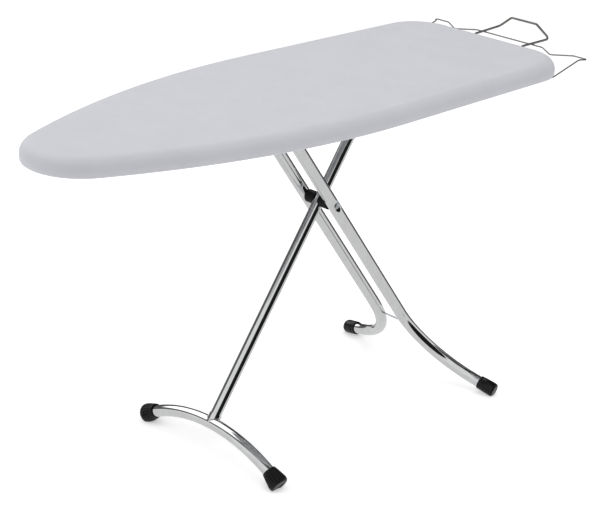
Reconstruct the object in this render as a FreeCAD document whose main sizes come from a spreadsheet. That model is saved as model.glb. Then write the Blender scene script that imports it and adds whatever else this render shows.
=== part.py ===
import FreeCAD, Part
import Sketcher
import math
import os
from FreeCAD import Placement, Rotation, Vector

# Folding ironing board with a padded top, a single hinged leg that ends in a curved foot,
# a twin leg that slides under the board, a height lever and a wire iron rest.
# Every piece is drawn with x measured from the nose tip towards the heel, y across the board
# and z up from the floor, then moved so that the origin is under the middle of the object.

doc = FreeCAD.newDocument("ironing_board")
sheet = doc.addObject("Spreadsheet::Sheet", "sizes")

SIZES = {
    # board top
    "board_length": 1240.0,
    "board_level": 737.0,
    "nose_radius": 107.5,
    "widest_half": 229.0,
    "widest_from_nose": 677.0,
    "heel_half": 218.5,
    "heel_corner": 97.0,
    "edge_depth": 34.0,
    "edge_round": 30.0,
    "cover_sheet": 1.2,
    "hem_width": 30.0,
    "pad_sheet": 7.0,
    "pad_gap": 0.1,
    "pad_lip_level": 706.0,
    "pad_inner_round": 12.0,
    "elastic_radius": 1.5,
    "elastic_inset": 26.5,
    "panel_sheet": 1.0,
    "panel_inset": 20.5,
    "vent_radius": 5.0,
    "vent_pitch": 40.0,
    "vent_columns": 25,
    "vent_first": 150.0,
    "rim_inset": 19.0,
    "rim_radius": 9.0,
    "tube_wall": 1.2,
    "bar_width": 18.0,
    "bar_depth": 7.0,
    # rails for the sliding axle
    "rail_front": 290.0,
    "rail_back": 745.0,
    "rail_outer": 73.0,
    "rail_flange": 15.0,
    "rail_depth": 26.0,
    "rail_wall": 1.5,
    "stop_length": 5.0,
    "rivet_radius": 3.0,
    "rivet_rise": 0.75,
    "rivet_inset": 1.0,
    "axle_radius": 4.0,
    "axle_half": 70.8,
    "glide_radius": 11.2,
    "glide_width": 8.6,
    "glide_gap": 1.2,
    "clip_ring_at": 57.0,
    "clip_ring_width": 1.6,
    # legs
    "pivot_from_nose": 716.0,
    "pivot_level": 481.0,
    "link_angle": 54.1,
    "leg_skew": 1.25,
    "single_radius": 11.5,
    "twin_radius": 12.5,
    "twin_offset": 39.1,
    "twin_top_end": 9.0,
    "plug_length": 2.5,
    "plug_depth": 1.3,
    "foot_bend_at": 387.6,
    "foot_bend_radius": 195.0,
    "foot_bend_angle": 72.0,
    "foot_reach": 211.9,
    "bow_level": 68.5,
    "bow_half": 191.0,
    "bow_end_level": 15.5,
    "bow_radius": 12.5,
    "collar_radius": 13.2,
    "collar_length": 20.0,
    "bow_cap_grip": 28.0,
    "bow_cap_nose": 9.0,
    "rear_cap_grip": 30.0,
    "rear_cap_nose": 10.0,
    "sleeve_radius": 11.0,
    "sleeve_half": 30.0,
    "hinge_bolt_radius": 4.0,
    "pin_radius": 3.5,
    "running_gap": 0.05,
    "saddle_radius": 13.5,
    "saddle_root": 6.5,
    "saddle_gap": 0.15,
    "twin_saddle_width": 10.0,
    "rivet_head": 1.8,
    "spreader_radius": 2.0,
    "spreader_level": 143.0,
    # hinge bracket
    "bracket_front": 858.0,
    "bracket_back": 938.0,
    "ear_back": 903.0,
    "ear_inner": 31.0,
    "bracket_sheet": 2.5,
    "ear_level": 695.0,
    "bolt_head": 5.0,
    "nut_height": 5.5,
    "hexagon_radius": 7.6,
    # height lever
    "lever_side": 20.0,
    "lever_level": 717.0,
    "lever_radius": 2.5,
    "lever_corner": 7.0,
    "lever_elbow": 20.0,
    "lever_elbow_side": 16.0,
    "lever_front": 425.0,
    "lever_back": 751.0,
    "grip_side": 186.0,
    "grip_level": 684.0,
    "grip_length": 54.0,
    "grip_radius": 6.0,
    "grip_end": 3.0,
    "lever_block_width": 12.0,
    "lever_block_length": 10.0,
    "lever_block_under": 5.0,
    "spring_wire_radius": 0.6,
    "spring_gap": 1.1,
    "spring_pitch": 1.6,
    "spring_turns": 7.0,
    "comb_front": 444.0,
    "comb_length": 240.0,
    "comb_sheet": 2.0,
    "comb_edge": 21.0,
    "comb_level": 712.2,
    "notch_width": 9.2,
    "notch_pitch": 24.0,
    "notch_count": 10,
    # iron rest
    "rest_wire_radius": 1.5,
    "rest_loop_radius": 2.5,
    "rest_bar_from_nose": 1303.5,
    "rest_bar_level": 720.0,
    "rest_half": 213.0,
    "rest_low_level": 698.5,
    "notch_side": 133.0,
    "notch_reach": 28.0,
    "notch_half": 42.0,
    "loop_half": 65.0,
    "loop_end_half": 69.0,
    "loop_from_nose": 1357.0,
    "loop_level": 725.5,
    "loop_top_half": 34.5,
    "loop_top_level": 752.0,
    "rest_tail": 1098.0,
    "rest_knee": 1122.0,
    "rest_edge": 1192.0,
    "rest_edge_in": 9.0,
    "rest_ear_back": 14.0,
    "rest_ear_in": 13.0,
    "loop_knee": 1246.0,
    "loop_rise": 18.0,
    "loop_rise_level": 723.2,
    "clip_side": 160.0,
    "clip_front": 1111.0,
    "clip_size": 18.0,
    "clip_under": 5.0,
    "screw_radius": 3.6,
    "screw_height": 2.0,
    # distance from the nose tip to the middle of the whole object
    "frame_shift": 679.26,
}

for row, (alias, number) in enumerate(SIZES.items(), start=1):
    sheet.set("A%d" % row, alias)
    sheet.set("B%d" % row, str(number))
    sheet.setAlias("B%d" % row, alias)
doc.recompute()

PRODUCTS = []

# bending radii along the iron rest's wires, from the tail to the middle
REST_BENDS = [30.0, 25.0, 14.0, 3.5, 12.0, 9.0, 12.0]
LOOP_BENDS = [7.0, 7.0, 9.0, 9.0]


def dim(alias):
    return float(sheet.get(alias))


def mix(constant=0.0, **weights):
    """A length as a number and as an expression over cells of the sheet."""
    number = constant + sum(weight * dim(alias) for alias, weight in weights.items())
    terms = ["%.6f * sizes.%s" % (weight, alias) for alias, weight in weights.items()]
    return number, " + ".join(["%.6f" % constant] + terms)


def negative(size):
    """The same length with the other sign."""
    return -size[0], "-(%s)" % size[1]


def share(size, part):
    """A part of a length."""
    return size[0] * part, "(%s) * %s" % (size[1], part)


def bind(thing, **expressions):
    for name, text in expressions.items():
        thing.setExpression(name, text)
    return thing


def product(label, thing):
    """Names a finished piece and moves it into the frame of the whole object."""
    thing.Label = label
    base = thing.Placement.Base
    thing.Placement = Placement(Vector(base.x - dim("frame_shift"), base.y, base.z), thing.Placement.Rotation)
    PRODUCTS.append(thing)
    return thing


# ---------------------------------------------------------------- derived places

AXLE_LEVEL = dim("board_level") - dim("cover_sheet") - dim("pad_sheet") - dim("panel_sheet") \
    - dim("bar_depth") - dim("rail_depth") / 2
PANEL_UNDERSIDE = dim("board_level") - dim("cover_sheet") - dim("pad_sheet") - dim("panel_sheet")
BAR_UNDERSIDE = PANEL_UNDERSIDE - dim("bar_depth")
HEM_LEVEL = dim("board_level") - dim("edge_depth")
LINK = (AXLE_LEVEL - dim("pivot_level")) / math.sin(math.radians(dim("link_angle")))
LINK_RUN = LINK * math.cos(math.radians(dim("link_angle")))
HINGE = Vector(dim("pivot_from_nose") + LINK_RUN, 0, AXLE_LEVEL)
SLIDE = Vector(dim("pivot_from_nose") - LINK_RUN, 0, AXLE_LEVEL)
PIVOT = Vector(dim("pivot_from_nose"), 0, dim("pivot_level"))
SINGLE_SLOPE = math.radians(dim("link_angle") + dim("leg_skew"))
TWIN_SLOPE = math.radians(dim("link_angle") - dim("leg_skew"))
SINGLE_UP = Vector(math.cos(SINGLE_SLOPE), 0, math.sin(SINGLE_SLOPE))
TWIN_UP = Vector(-math.cos(TWIN_SLOPE), 0, math.sin(TWIN_SLOPE))
ALONG = Vector(1, 0, 0)
ACROSS = Vector(0, 1, 0)
UP = Vector(0, 0, 1)


def side_arc_radius():
    """Radius of the long arc that joins the nose to the widest place."""
    run = dim("widest_from_nose") - dim("nose_radius")
    gain = dim("widest_half") - dim("nose_radius")
    return (run ** 2 + dim("widest_half") ** 2 - dim("nose_radius") ** 2) / (2 * gain)


def taper():
    """Slope, in radians, of the side between the widest place and the heel."""
    drop = dim("widest_half") - dim("heel_half")
    return math.atan2(drop, dim("board_length") - dim("widest_from_nose"))


def half_width(x):
    """Half the width of the board at a distance x from the nose tip, corners left out."""
    radius = side_arc_radius()
    if x > dim("widest_from_nose"):
        return dim("widest_half") - math.tan(taper()) * (x - dim("widest_from_nose"))
    reach = math.sqrt(radius ** 2 - (x - dim("widest_from_nose")) ** 2)
    return dim("widest_half") - radius + reach


def outline_nodes(inset):
    """Corner points of one side of the outline, moved in by inset, nose first."""
    nose = Vector(dim("nose_radius"), 0, 0)
    side = Vector(dim("widest_from_nose"), dim("widest_half") - side_arc_radius(), 0)
    away = (nose - side).normalize()
    join = nose + away * (dim("nose_radius") - inset)
    slope = taper()
    normal = Vector(math.sin(slope), math.cos(slope), 0)
    along = Vector(math.cos(slope), -math.sin(slope), 0)
    start = side + normal * (side_arc_radius() - inset)
    corner = dim("heel_corner")
    centre_x = dim("board_length") - corner
    inner = start - normal * (corner - inset)
    centre = inner + along * ((centre_x - inner.x) / along.x)
    taper_end = centre + normal * (corner - inset)
    heel_end = centre + Vector(corner - inset, 0, 0)
    return nose, side, join, start, centre, taper_end, heel_end


def mirrored(point):
    return Vector(point.x, -point.y, point.z)


def outline_wire(inset, level):
    """Closed outline, moved in by inset, at a height."""
    nose, side, join, start, centre, taper_end, heel_end = outline_nodes(inset)
    tip = Vector(inset, 0, 0)
    lift = Vector(0, 0, level)
    side_mid = side + ((join + start) * 0.5 - side).normalize() * (side_arc_radius() - inset)
    corner_mid = centre + ((taper_end + heel_end) * 0.5 - centre).normalize() * (dim("heel_corner") - inset)
    half = [(join, side_mid, start), (start, taper_end), (taper_end, corner_mid, heel_end)]
    other = [tuple(mirrored(point) for point in reversed(piece)) for piece in reversed(half)]
    pieces = [(mirrored(join), tip, join)] + half + [(heel_end, mirrored(heel_end))] + other
    edges = []
    for piece in pieces:
        points = [point + lift for point in piece]
        edge = Part.LineSegment(*points) if len(points) == 2 else Part.Arc(*points)
        edges.append(edge.toShape())
    return Part.Wire(edges)


# ---------------------------------------------------------------- drawing helpers

def origin_plane(body, role):
    return next(item for item in body.Origin.OriginFeatures if item.Role == role)


def new_sketch(body, name, plane, offset=0.0):
    sketch = body.newObject("Sketcher::SketchObject", name)
    sketch.AttachmentSupport = (origin_plane(body, plane), "")
    sketch.MapMode = "FlatFace"
    sketch.AttachmentOffset = Placement(Vector(0, 0, offset), Rotation())
    return sketch


def fix(sketch, kind, *where, size):
    """Adds one dimension to a sketch and binds it to the sheet."""
    number, text = size
    index = sketch.addConstraint(Sketcher.Constraint(kind, *where, number))
    sketch.setExpression("Constraints[%d]" % index, text)


def polygon(body, name, plane, corners, offset=0.0):
    """Closed polygon whose corners are pairs made by mix()."""
    sketch = new_sketch(body, name, plane, offset)
    points = [Vector(across[0], along[0], 0) for across, along in corners]
    for index, point in enumerate(points):
        sketch.addGeometry(Part.LineSegment(point, points[(index + 1) % len(points)]), False)
    for index in range(len(points)):
        follower = (index + 1) % len(points)
        sketch.addConstraint(Sketcher.Constraint("Coincident", index, 2, follower, 1))
    for index, (across, along) in enumerate(corners):
        fix(sketch, "DistanceX", -1, 1, index, 1, size=across)
        fix(sketch, "DistanceY", -1, 1, index, 1, size=along)
    return sketch


def circles(body, name, plane, centres, radius):
    """Circles at centres made by mix(), all with one radius."""
    sketch = new_sketch(body, name, plane)
    for index, (across, along) in enumerate(centres):
        circle = Part.Circle(Vector(across[0], along[0], 0), Vector(0, 0, 1), radius[0])
        sketch.addGeometry(circle, False)
        fix(sketch, "DistanceX", -1, 1, index, 3, size=across)
        fix(sketch, "DistanceY", -1, 1, index, 3, size=along)
        fix(sketch, "Radius", index, size=radius)
    return sketch


def outline_sketch(body, name, inset):
    """Board outline moved in by inset, held by the cells that drive it."""
    gap, gap_text = inset
    nose, side, join, start, centre, taper_end, heel_end = outline_nodes(gap)
    sketch = new_sketch(body, name, "XY_Plane")

    def arc(middle, begin, end):
        radius = (begin - middle).Length
        first = math.atan2(begin.y - middle.y, begin.x - middle.x)
        last = math.atan2(end.y - middle.y, end.x - middle.x)
        circle = Part.Circle(middle, Vector(0, 0, 1), radius)
        return Part.ArcOfCircle(circle, first, last if last > first else last + 2 * math.pi)

    # anticlockwise: nose, near side, near corner, heel, far corner, far side
    sketch.addGeometry(arc(nose, join, mirrored(join)), False)
    sketch.addGeometry(arc(mirrored(side), mirrored(join), mirrored(start)), False)
    sketch.addGeometry(Part.LineSegment(mirrored(start), mirrored(taper_end)), False)
    sketch.addGeometry(arc(mirrored(centre), mirrored(taper_end), mirrored(heel_end)), False)
    sketch.addGeometry(Part.LineSegment(mirrored(heel_end), heel_end), False)
    sketch.addGeometry(arc(centre, heel_end, taper_end), False)
    sketch.addGeometry(Part.LineSegment(taper_end, start), False)
    sketch.addGeometry(arc(side, start, join), False)
    for index in range(8):
        sketch.addConstraint(Sketcher.Constraint("Coincident", index, 2, (index + 1) % 8, 1))
    sketch.addConstraint(Sketcher.Constraint("PointOnObject", 0, 3, -1))
    fix(sketch, "DistanceX", -1, 1, 0, 3, size=mix(nose_radius=1))
    fix(sketch, "Radius", 0, size=(dim("nose_radius") - gap, "sizes.nose_radius - (%s)" % gap_text))
    for index in (3, 5):
        fix(sketch, "Radius", index, size=(dim("heel_corner") - gap, "sizes.heel_corner - (%s)" % gap_text))
        fix(sketch, "DistanceX", -1, 1, index, 3, size=mix(board_length=1, heel_corner=-1))
    for index in (1, 7):
        fix(sketch, "DistanceX", -1, 1, index, 3, size=mix(widest_from_nose=1))
    return sketch


def pad(body, sketch, length, reverse=False, both_ways=False):
    feature = body.newObject("PartDesign::Pad", sketch.Name + "_pad")
    feature.Profile = sketch
    feature.Reversed = reverse
    if both_ways:
        feature.SideType = "Symmetric"
    feature.setExpression("Length", length[1])
    return feature


def cut_through(body, sketch, length, label):
    """Pocket cut both ways from its sketch, checked by the volume it takes."""
    doc.recompute()
    before = body.Shape.Volume
    feature = body.newObject("PartDesign::Pocket", sketch.Name + "_pocket")
    feature.Profile = sketch
    feature.SideType = "Symmetric"
    feature.setExpression("Length", length[1])
    doc.recompute()
    if body.Shape.Volume > before - 1e-3:
        raise RuntimeError("%s: the pocket took nothing away" % label)
    return feature


def repeat(body, feature, count, length):
    """Row of copies of a feature along x."""
    pattern = body.newObject("PartDesign::LinearPattern", feature.Name + "_row")
    pattern.Originals = [feature]
    pattern.Direction = (origin_plane(body, "X_Axis"), [""])
    pattern.setExpression("Length", length[1])
    pattern.setExpression("Occurrences", count)
    body.Tip = pattern
    return pattern


def new_body(name):
    return doc.addObject("PartDesign::Body", name)


def cylinder(name, radius, length, middle, axis):
    """Solid cylinder centred on a point; radius and length come from mix()."""
    solid = bind(doc.addObject("Part::Cylinder", name), Radius=radius[1], Height=length[1])
    turn = Rotation(UP, axis)
    solid.Placement = Placement(middle - turn.multVec(UP) * (length[0] / 2), turn)
    return solid


def box(name, length, width, height, corner):
    solid = doc.addObject("Part::Box", name)
    bind(solid, Length=length[1], Width=width[1], Height=height[1])
    solid.Placement = Placement(corner, Rotation())
    return solid


def hexagon(name, height, foot):
    """Hexagonal block that stands on a point and reaches across the board."""
    block = doc.addObject("Part::Prism", name)
    block.Polygon = 6
    bind(block, Circumradius=mix(hexagon_radius=1)[1], Height=height[1])
    block.Placement = Placement(foot, Rotation(UP, ACROSS))
    return block


def cut(name, base, *tools):
    result = base
    for index, tool in enumerate(tools):
        step = doc.addObject("Part::Cut", "%s_cut_%d" % (name, index))
        step.Base = result
        step.Tool = tool
        result = step
    return result


def fuse(name, *solids):
    result = doc.addObject("Part::MultiFuse", name)
    result.Shapes = list(solids)
    return result


def group(name, *solids):
    result = doc.addObject("Part::Compound", name)
    result.Links = list(solids)
    return result


def rounded_path(points, radii):
    """Straight runs joined by tangent arcs, one radius for each inner point."""
    edges = []
    here = points[0]
    for index, radius in enumerate(radii, start=1):
        corner = points[index]
        back = (points[index - 1] - corner).normalize()
        ahead = (points[index + 1] - corner).normalize()
        opening = back.getAngle(ahead)
        reach = radius / math.tan(opening / 2)
        begin = corner + back * reach
        end = corner + ahead * reach
        middle_line = (back + ahead).normalize()
        middle = corner + middle_line * (radius / math.sin(opening / 2) - radius)
        edges.append(Part.LineSegment(here, begin).toShape())
        edges.append(Part.Arc(begin, middle, end).toShape())
        here = end
    edges.append(Part.LineSegment(here, points[-1]).toShape())
    return Part.Wire(edges)


def swept(wire, radius):
    """Round rod along a wire, its volume compared with section times length."""
    edge = wire.OrderedEdges[0]
    start = edge.valueAt(edge.FirstParameter)
    tangent = edge.tangentAt(edge.FirstParameter)
    if (start - wire.OrderedVertexes[0].Point).Length > 1e-6:
        start = edge.valueAt(edge.LastParameter)
        tangent = edge.tangentAt(edge.LastParameter)
    ring = Part.Wire([Part.Circle(start, tangent, radius).toShape()])
    solid = wire.makePipeShell([ring], True, False)
    expected = math.pi * radius ** 2 * wire.Length
    if abs(solid.Volume - expected) > 0.02 * expected:
        raise RuntimeError("a swept rod has %.0f mm3 instead of %.0f" % (solid.Volume, expected))
    return solid


def feature(name, shape):
    thing = doc.addObject("Part::Feature", name)
    thing.Shape = shape
    return thing


def bent_tube(name, wire, radius, wall):
    """Hollow tube along a wire of lines and arcs."""
    return feature(name, swept(wire, radius).cut(swept(wire, radius - wall)))


# ---------------------------------------------------------------- cover, pad, elastic

def rounded_slab(name, inset, low, high, rounding):
    """Board-shaped slab with a rounded upper edge, its outline a chain of tangent arcs."""
    slab = Part.Face(outline_wire(inset, low)).extrude(Vector(0, 0, high - low))
    upper = [edge for edge in slab.Edges if edge.BoundBox.ZMin > high - 1e-4]
    return feature(name, slab.makeFillet(rounding, upper))


def make_cover():
    """Fabric skin: top, rounded side and the hem that is turned under."""
    sheet_size = dim("cover_sheet")
    rounding = dim("edge_round")
    top = dim("board_level")
    outer = rounded_slab("cover_outside", 0.0, HEM_LEVEL, top, rounding)
    inner = rounded_slab("cover_inside", sheet_size, HEM_LEVEL - 10.0, top - sheet_size,
                         rounding - sheet_size)
    shell = cut("cover_shell", outer, inner)
    hem = new_body("hem")
    pad(hem, outline_sketch(hem, "hem_outline", mix()), mix(cover_sheet=1))
    opening = outline_sketch(hem, "hem_opening", mix(hem_width=1))
    cut_through(hem, opening, mix(cover_sheet=4), "hem")
    hem.Placement = Placement(Vector(0, 0, HEM_LEVEL), Rotation())
    product("cover", fuse("cover_skin", shell, hem))


def make_pad():
    """Foam pad with a lip that hangs down inside the side of the cover."""
    outside = dim("cover_sheet") + dim("pad_gap")
    top = dim("board_level") - dim("cover_sheet")
    lip = dim("pad_lip_level")
    outer = rounded_slab("pad_outside", outside, lip, top, dim("edge_round") - outside)
    inner = rounded_slab("pad_inside", outside + dim("pad_sheet"), lip - 10.0, top - dim("pad_sheet"),
                         dim("pad_inner_round"))
    product("pad", cut("pad_foam", outer, inner))


def make_elastic():
    """Elastic cord that lies in the fold of the hem."""
    level = HEM_LEVEL + dim("cover_sheet") + dim("elastic_radius") + dim("pad_gap")
    cord = swept(outline_wire(dim("elastic_inset"), level), dim("elastic_radius"))
    product("hem_elastic", feature("elastic", cord))


# ---------------------------------------------------------------- steel top

def make_panel():
    """Sheet steel panel with rows of steam vents."""
    body = new_body("panel_sheet_metal")
    pad(body, outline_sketch(body, "panel_outline", mix(panel_inset=1)), mix(panel_sheet=1))
    rows = [(mix(vent_first=1), mix(vent_pitch=step)) for step in (-3, -2, -1, 0, 1, 2, 3)]
    vents = circles(body, "vents", "XY_Plane", rows[2:5], mix(vent_radius=1))
    pocket = cut_through(body, vents, mix(panel_sheet=4), "top panel")
    repeat(body, pocket, "sizes.vent_columns", mix(vent_pitch=dim("vent_columns") - 1))
    side_rows = [(mix(vent_first=1, vent_pitch=6.5), row[1]) for row in rows[:2] + rows[5:]]
    wide = circles(body, "side_vents", "XY_Plane", side_rows, mix(vent_radius=1))
    side_pocket = cut_through(body, wide, mix(panel_sheet=4), "top panel side vents")
    repeat(body, side_pocket, "sizes.vent_columns - 8", mix(vent_pitch=dim("vent_columns") - 9))
    body.Placement = Placement(Vector(0, 0, PANEL_UNDERSIDE), Rotation())
    product("top_panel", body)


def make_rim():
    """Perimeter tube that stiffens the panel."""
    wire = outline_wire(dim("rim_inset"), PANEL_UNDERSIDE - dim("rim_radius"))
    product("perimeter_tube", bent_tube("rim", wire, dim("rim_radius"), dim("tube_wall")))


BAR_PLACES = {"cross_bar_nose": 305.0, "cross_bar_front": 432.0, "cross_bar_middle": 733.0,
              "cross_bar_hinge": 949.0, "cross_bar_heel": 1120.0}


def make_bars():
    """Flat bars welded between the two sides of the perimeter tube."""
    for label, place in BAR_PLACES.items():
        reach = half_width(place) - dim("rim_inset") - 0.6 * dim("rim_radius")
        corner = Vector(place - dim("bar_width") / 2, -reach, BAR_UNDERSIDE)
        bar = box(label + "_bar", mix(bar_width=1), mix(2 * reach), mix(bar_depth=1), corner)
        product(label, bar)


def make_rails():
    """C-shaped rails, open towards each other, and the stops at their ends."""
    stops = []
    for label, side in (("guide_rail_left", 1), ("guide_rail_right", -1)):
        body = new_body(label + "_body")
        outer = mix(rail_outer=side)
        web = mix(rail_outer=side, rail_wall=-side)
        lip = mix(rail_outer=side, rail_flange=-side)
        low = mix()
        floor = mix(rail_wall=1)
        roof = mix(rail_depth=1, rail_wall=-1)
        high = mix(rail_depth=1)
        corners = [(outer, low), (outer, high), (lip, high), (lip, roof), (web, roof), (web, floor),
                   (lip, floor), (lip, low)]
        pad(body, polygon(body, label + "_section", "YZ_Plane", corners), mix(rail_back=1, rail_front=-1))
        start = Vector(dim("rail_front"), 0, BAR_UNDERSIDE - dim("rail_depth"))
        body.Placement = Placement(start, Rotation())
        product(label, body)
        near = side * (dim("rail_outer") - dim("rail_wall")) if side < 0 else \
            dim("rail_outer") - dim("rail_flange")
        for index, place in enumerate((dim("rail_front"), dim("rail_back") - dim("stop_length"))):
            corner = Vector(place, near, BAR_UNDERSIDE - dim("rail_depth") + dim("rail_wall"))
            stop_size = (mix(stop_length=1), mix(rail_flange=1, rail_wall=-1), mix(rail_depth=1, rail_wall=-2))
            stops.append(box("stop_%s_%d" % (label, index), *stop_size, corner))
    product("rail_end_stops", group("stops", *stops))


def make_rivets():
    """Domed rivets that hold the rails under the cross bars."""
    rivets = []
    for label in ("cross_bar_nose", "cross_bar_front", "cross_bar_middle"):
        for side in (-1, 1):
            across = dim("rail_outer") - dim("rail_flange") / 2 - dim("rivet_inset")
            middle = Vector(BAR_PLACES[label], side * across,
                            BAR_UNDERSIDE - dim("rail_wall") - dim("rivet_rise"))
            rivets.append(cylinder("rivet_%s_%d" % (label, side), mix(rivet_radius=1), mix(rail_wall=1),
                                   middle, UP))
    product("rail_rivets", group("rivets", *rivets))


# ---------------------------------------------------------------- hinge of the single leg

def make_hinge():
    """U-shaped bracket, bolt and nut that carry the cross sleeve of the single leg."""
    body = new_body("bracket_body")
    inner = mix(ear_inner=1)
    outer = mix(ear_inner=1, bracket_sheet=1)
    top = mix(PANEL_UNDERSIDE)
    under = mix(PANEL_UNDERSIDE, bracket_sheet=-1)
    low = mix(ear_level=1)
    corners = [(negative(outer), low), (negative(outer), top), (outer, top), (outer, low), (inner, low),
               (inner, under), (negative(inner), under), (negative(inner), low)]
    pad(body, polygon(body, "bracket_section", "YZ_Plane", corners, dim("bracket_front")),
        mix(bracket_back=1, bracket_front=-1))
    waste = [(mix(ear_back=1), mix(ear_level=1, running_gap=-20)), (mix(bracket_back=1, running_gap=20),
             mix(ear_level=1, running_gap=-20)), (mix(bracket_back=1, running_gap=20), under),
             (mix(ear_back=1), under)]
    cut_through(body, polygon(body, "ear_trim", "XZ_Plane", waste), mix(ear_inner=4), "hinge bracket ears")
    bore = circles(body, "bolt_hole", "XZ_Plane", [(mix(HINGE.x), mix(HINGE.z))],
                   mix(hinge_bolt_radius=1, running_gap=1))
    cut_through(body, bore, mix(ear_inner=4), "hinge bolt hole")
    product("hinge_bracket", body)

    outside = dim("ear_inner") + dim("bracket_sheet")
    shank = cylinder("bolt_shank", mix(hinge_bolt_radius=1),
                     mix(ear_inner=2, bracket_sheet=2, nut_height=1, hinge_bolt_radius=0.5),
                     HINGE + ACROSS * (dim("nut_height") / 2), ACROSS)
    head = hexagon("bolt_head", mix(bolt_head=1), HINGE - ACROSS * (outside + dim("bolt_head")))
    product("hinge_bolt", fuse("bolt", shank, head))
    nut_body = hexagon("nut_body", mix(nut_height=1), HINGE + ACROSS * outside)
    nut_bore = cylinder("nut_bore", mix(hinge_bolt_radius=1, running_gap=0.5), mix(nut_height=4),
                        HINGE + ACROSS * outside, ACROSS)
    product("hinge_nut", cut("nut", nut_body, nut_bore))


# ---------------------------------------------------------------- single leg

def single_point(distance):
    """Point on the single leg's tube, measured up from the pivot."""
    return PIVOT + SINGLE_UP * distance


def make_single_leg():
    """Leg tube, hinge sleeve, curved foot and the collar welded between them."""
    down = (dim("bow_level") - dim("pivot_level")) / SINGLE_UP.z
    up = LINK * math.cos(math.radians(dim("leg_skew"))) - 0.35 * dim("sleeve_radius")
    bow_centre = single_point(down)
    side = dim("bow_half")
    ends = [Vector(bow_centre.x, sign * side, dim("bow_end_level")) for sign in (-1, 1)]
    bow_wire = Part.Wire([Part.Arc(ends[0], bow_centre, ends[1]).toShape()])
    leg_wire = Part.Wire([Part.LineSegment(single_point(down), single_point(up)).toShape()])
    leg = swept(leg_wire, dim("single_radius")).cut(swept(leg_wire, dim("single_radius") - dim("tube_wall")))
    bow_solid = swept(bow_wire, dim("bow_radius"))
    leg = leg.cut(bow_solid).cut(Part.makeCylinder(
        dim("sleeve_radius"), 2 * dim("sleeve_half"), HINGE - ACROSS * dim("sleeve_half"), ACROSS))
    pin_room = Part.makeCylinder(dim("pin_radius") + dim("running_gap"), 60.0, PIVOT - ACROSS * 30.0, ACROSS)
    leg = max(leg.cut(pin_room).Solids, key=lambda solid: solid.Volume)
    product("single_leg_tube", feature("leg_tube", leg))

    sleeve = cylinder("sleeve_outside", mix(sleeve_radius=1), mix(sleeve_half=2), HINGE, ACROSS)
    bore = cylinder("sleeve_bore", mix(hinge_bolt_radius=1, running_gap=1), mix(10.0, sleeve_half=2),
                    HINGE, ACROSS)
    product("hinge_sleeve", cut("sleeve", sleeve, bore))

    product("foot_bow", bent_tube("bow", bow_wire, dim("bow_radius"), dim("tube_wall")))
    collar_top = bow_centre + SINGLE_UP * dim("collar_length")
    collar_wire = Part.Wire([Part.LineSegment(bow_centre, collar_top).toShape()])
    collar = swept(collar_wire, dim("collar_radius")).cut(swept(collar_wire, dim("single_radius")))
    collar = max(collar.cut(bow_solid).Solids, key=lambda solid: solid.CenterOfMass.z)
    product("bow_collar", feature("collar", collar))
    return ends, bow_wire


def cap_solid(name, radii, bore, lengths, placement):
    """Turned rubber cap: radii of throat, waist and end, lengths before and after the tube end."""
    throat, waist, end = radii
    before, after = lengths
    body = new_body(name)
    seat = share(after, 0.1)
    corners = [(mix(), seat), (bore, seat), (bore, negative(before)), (throat, negative(before)),
               (waist, negative(share(before, 0.45))), (end, negative(seat)), (end, share(after, 0.6)),
               (share(end, 0.86), after), (mix(), after)]
    profile = polygon(body, name + "_profile", "XZ_Plane", corners)
    turned = body.newObject("PartDesign::Revolution", name + "_turned")
    turned.Profile = profile
    turned.ReferenceAxis = (profile, ["V_Axis"])
    turned.Angle = 360.0
    body.Placement = placement
    return body


def floor_block(name):
    """Everything under the floor, cut from a foot so that it stands flat."""
    return box(name, mix(board_length=1), mix(widest_half=4), mix(60.0),
               Vector(0, -2 * dim("widest_half"), -60.0))


def make_bow_caps(ends, bow_wire):
    """Flared rubber caps on the curved foot, their bores curved with it."""
    edge = bow_wire.Edges[0]
    room = feature("bow_room", swept(bow_wire, dim("bow_radius") + dim("running_gap")))
    for label, end in (("bow_cap_right", ends[0]), ("bow_cap_left", ends[1])):
        tangent = edge.tangentAt(edge.getParameterByLength(0.0 if end.y < 0 else edge.Length))
        outward = tangent if tangent.y * end.y > 0 else tangent * -1.0
        place = Placement(end, Rotation(UP, outward))
        cap = cap_solid(label + "_body", (mix(bow_radius=1.2), mix(bow_radius=1.44), mix(bow_radius=1.62)),
                        mix(bow_radius=0.86), (mix(bow_cap_grip=1), mix(bow_cap_nose=1)), place)
        product(label, cut(label, cap, room, floor_block(label + "_floor")))


# ---------------------------------------------------------------- twin leg

def twin_point(distance, side):
    """Point on a twin tube, measured down from the pivot."""
    return PIVOT - TWIN_UP * distance + ACROSS * side


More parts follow.
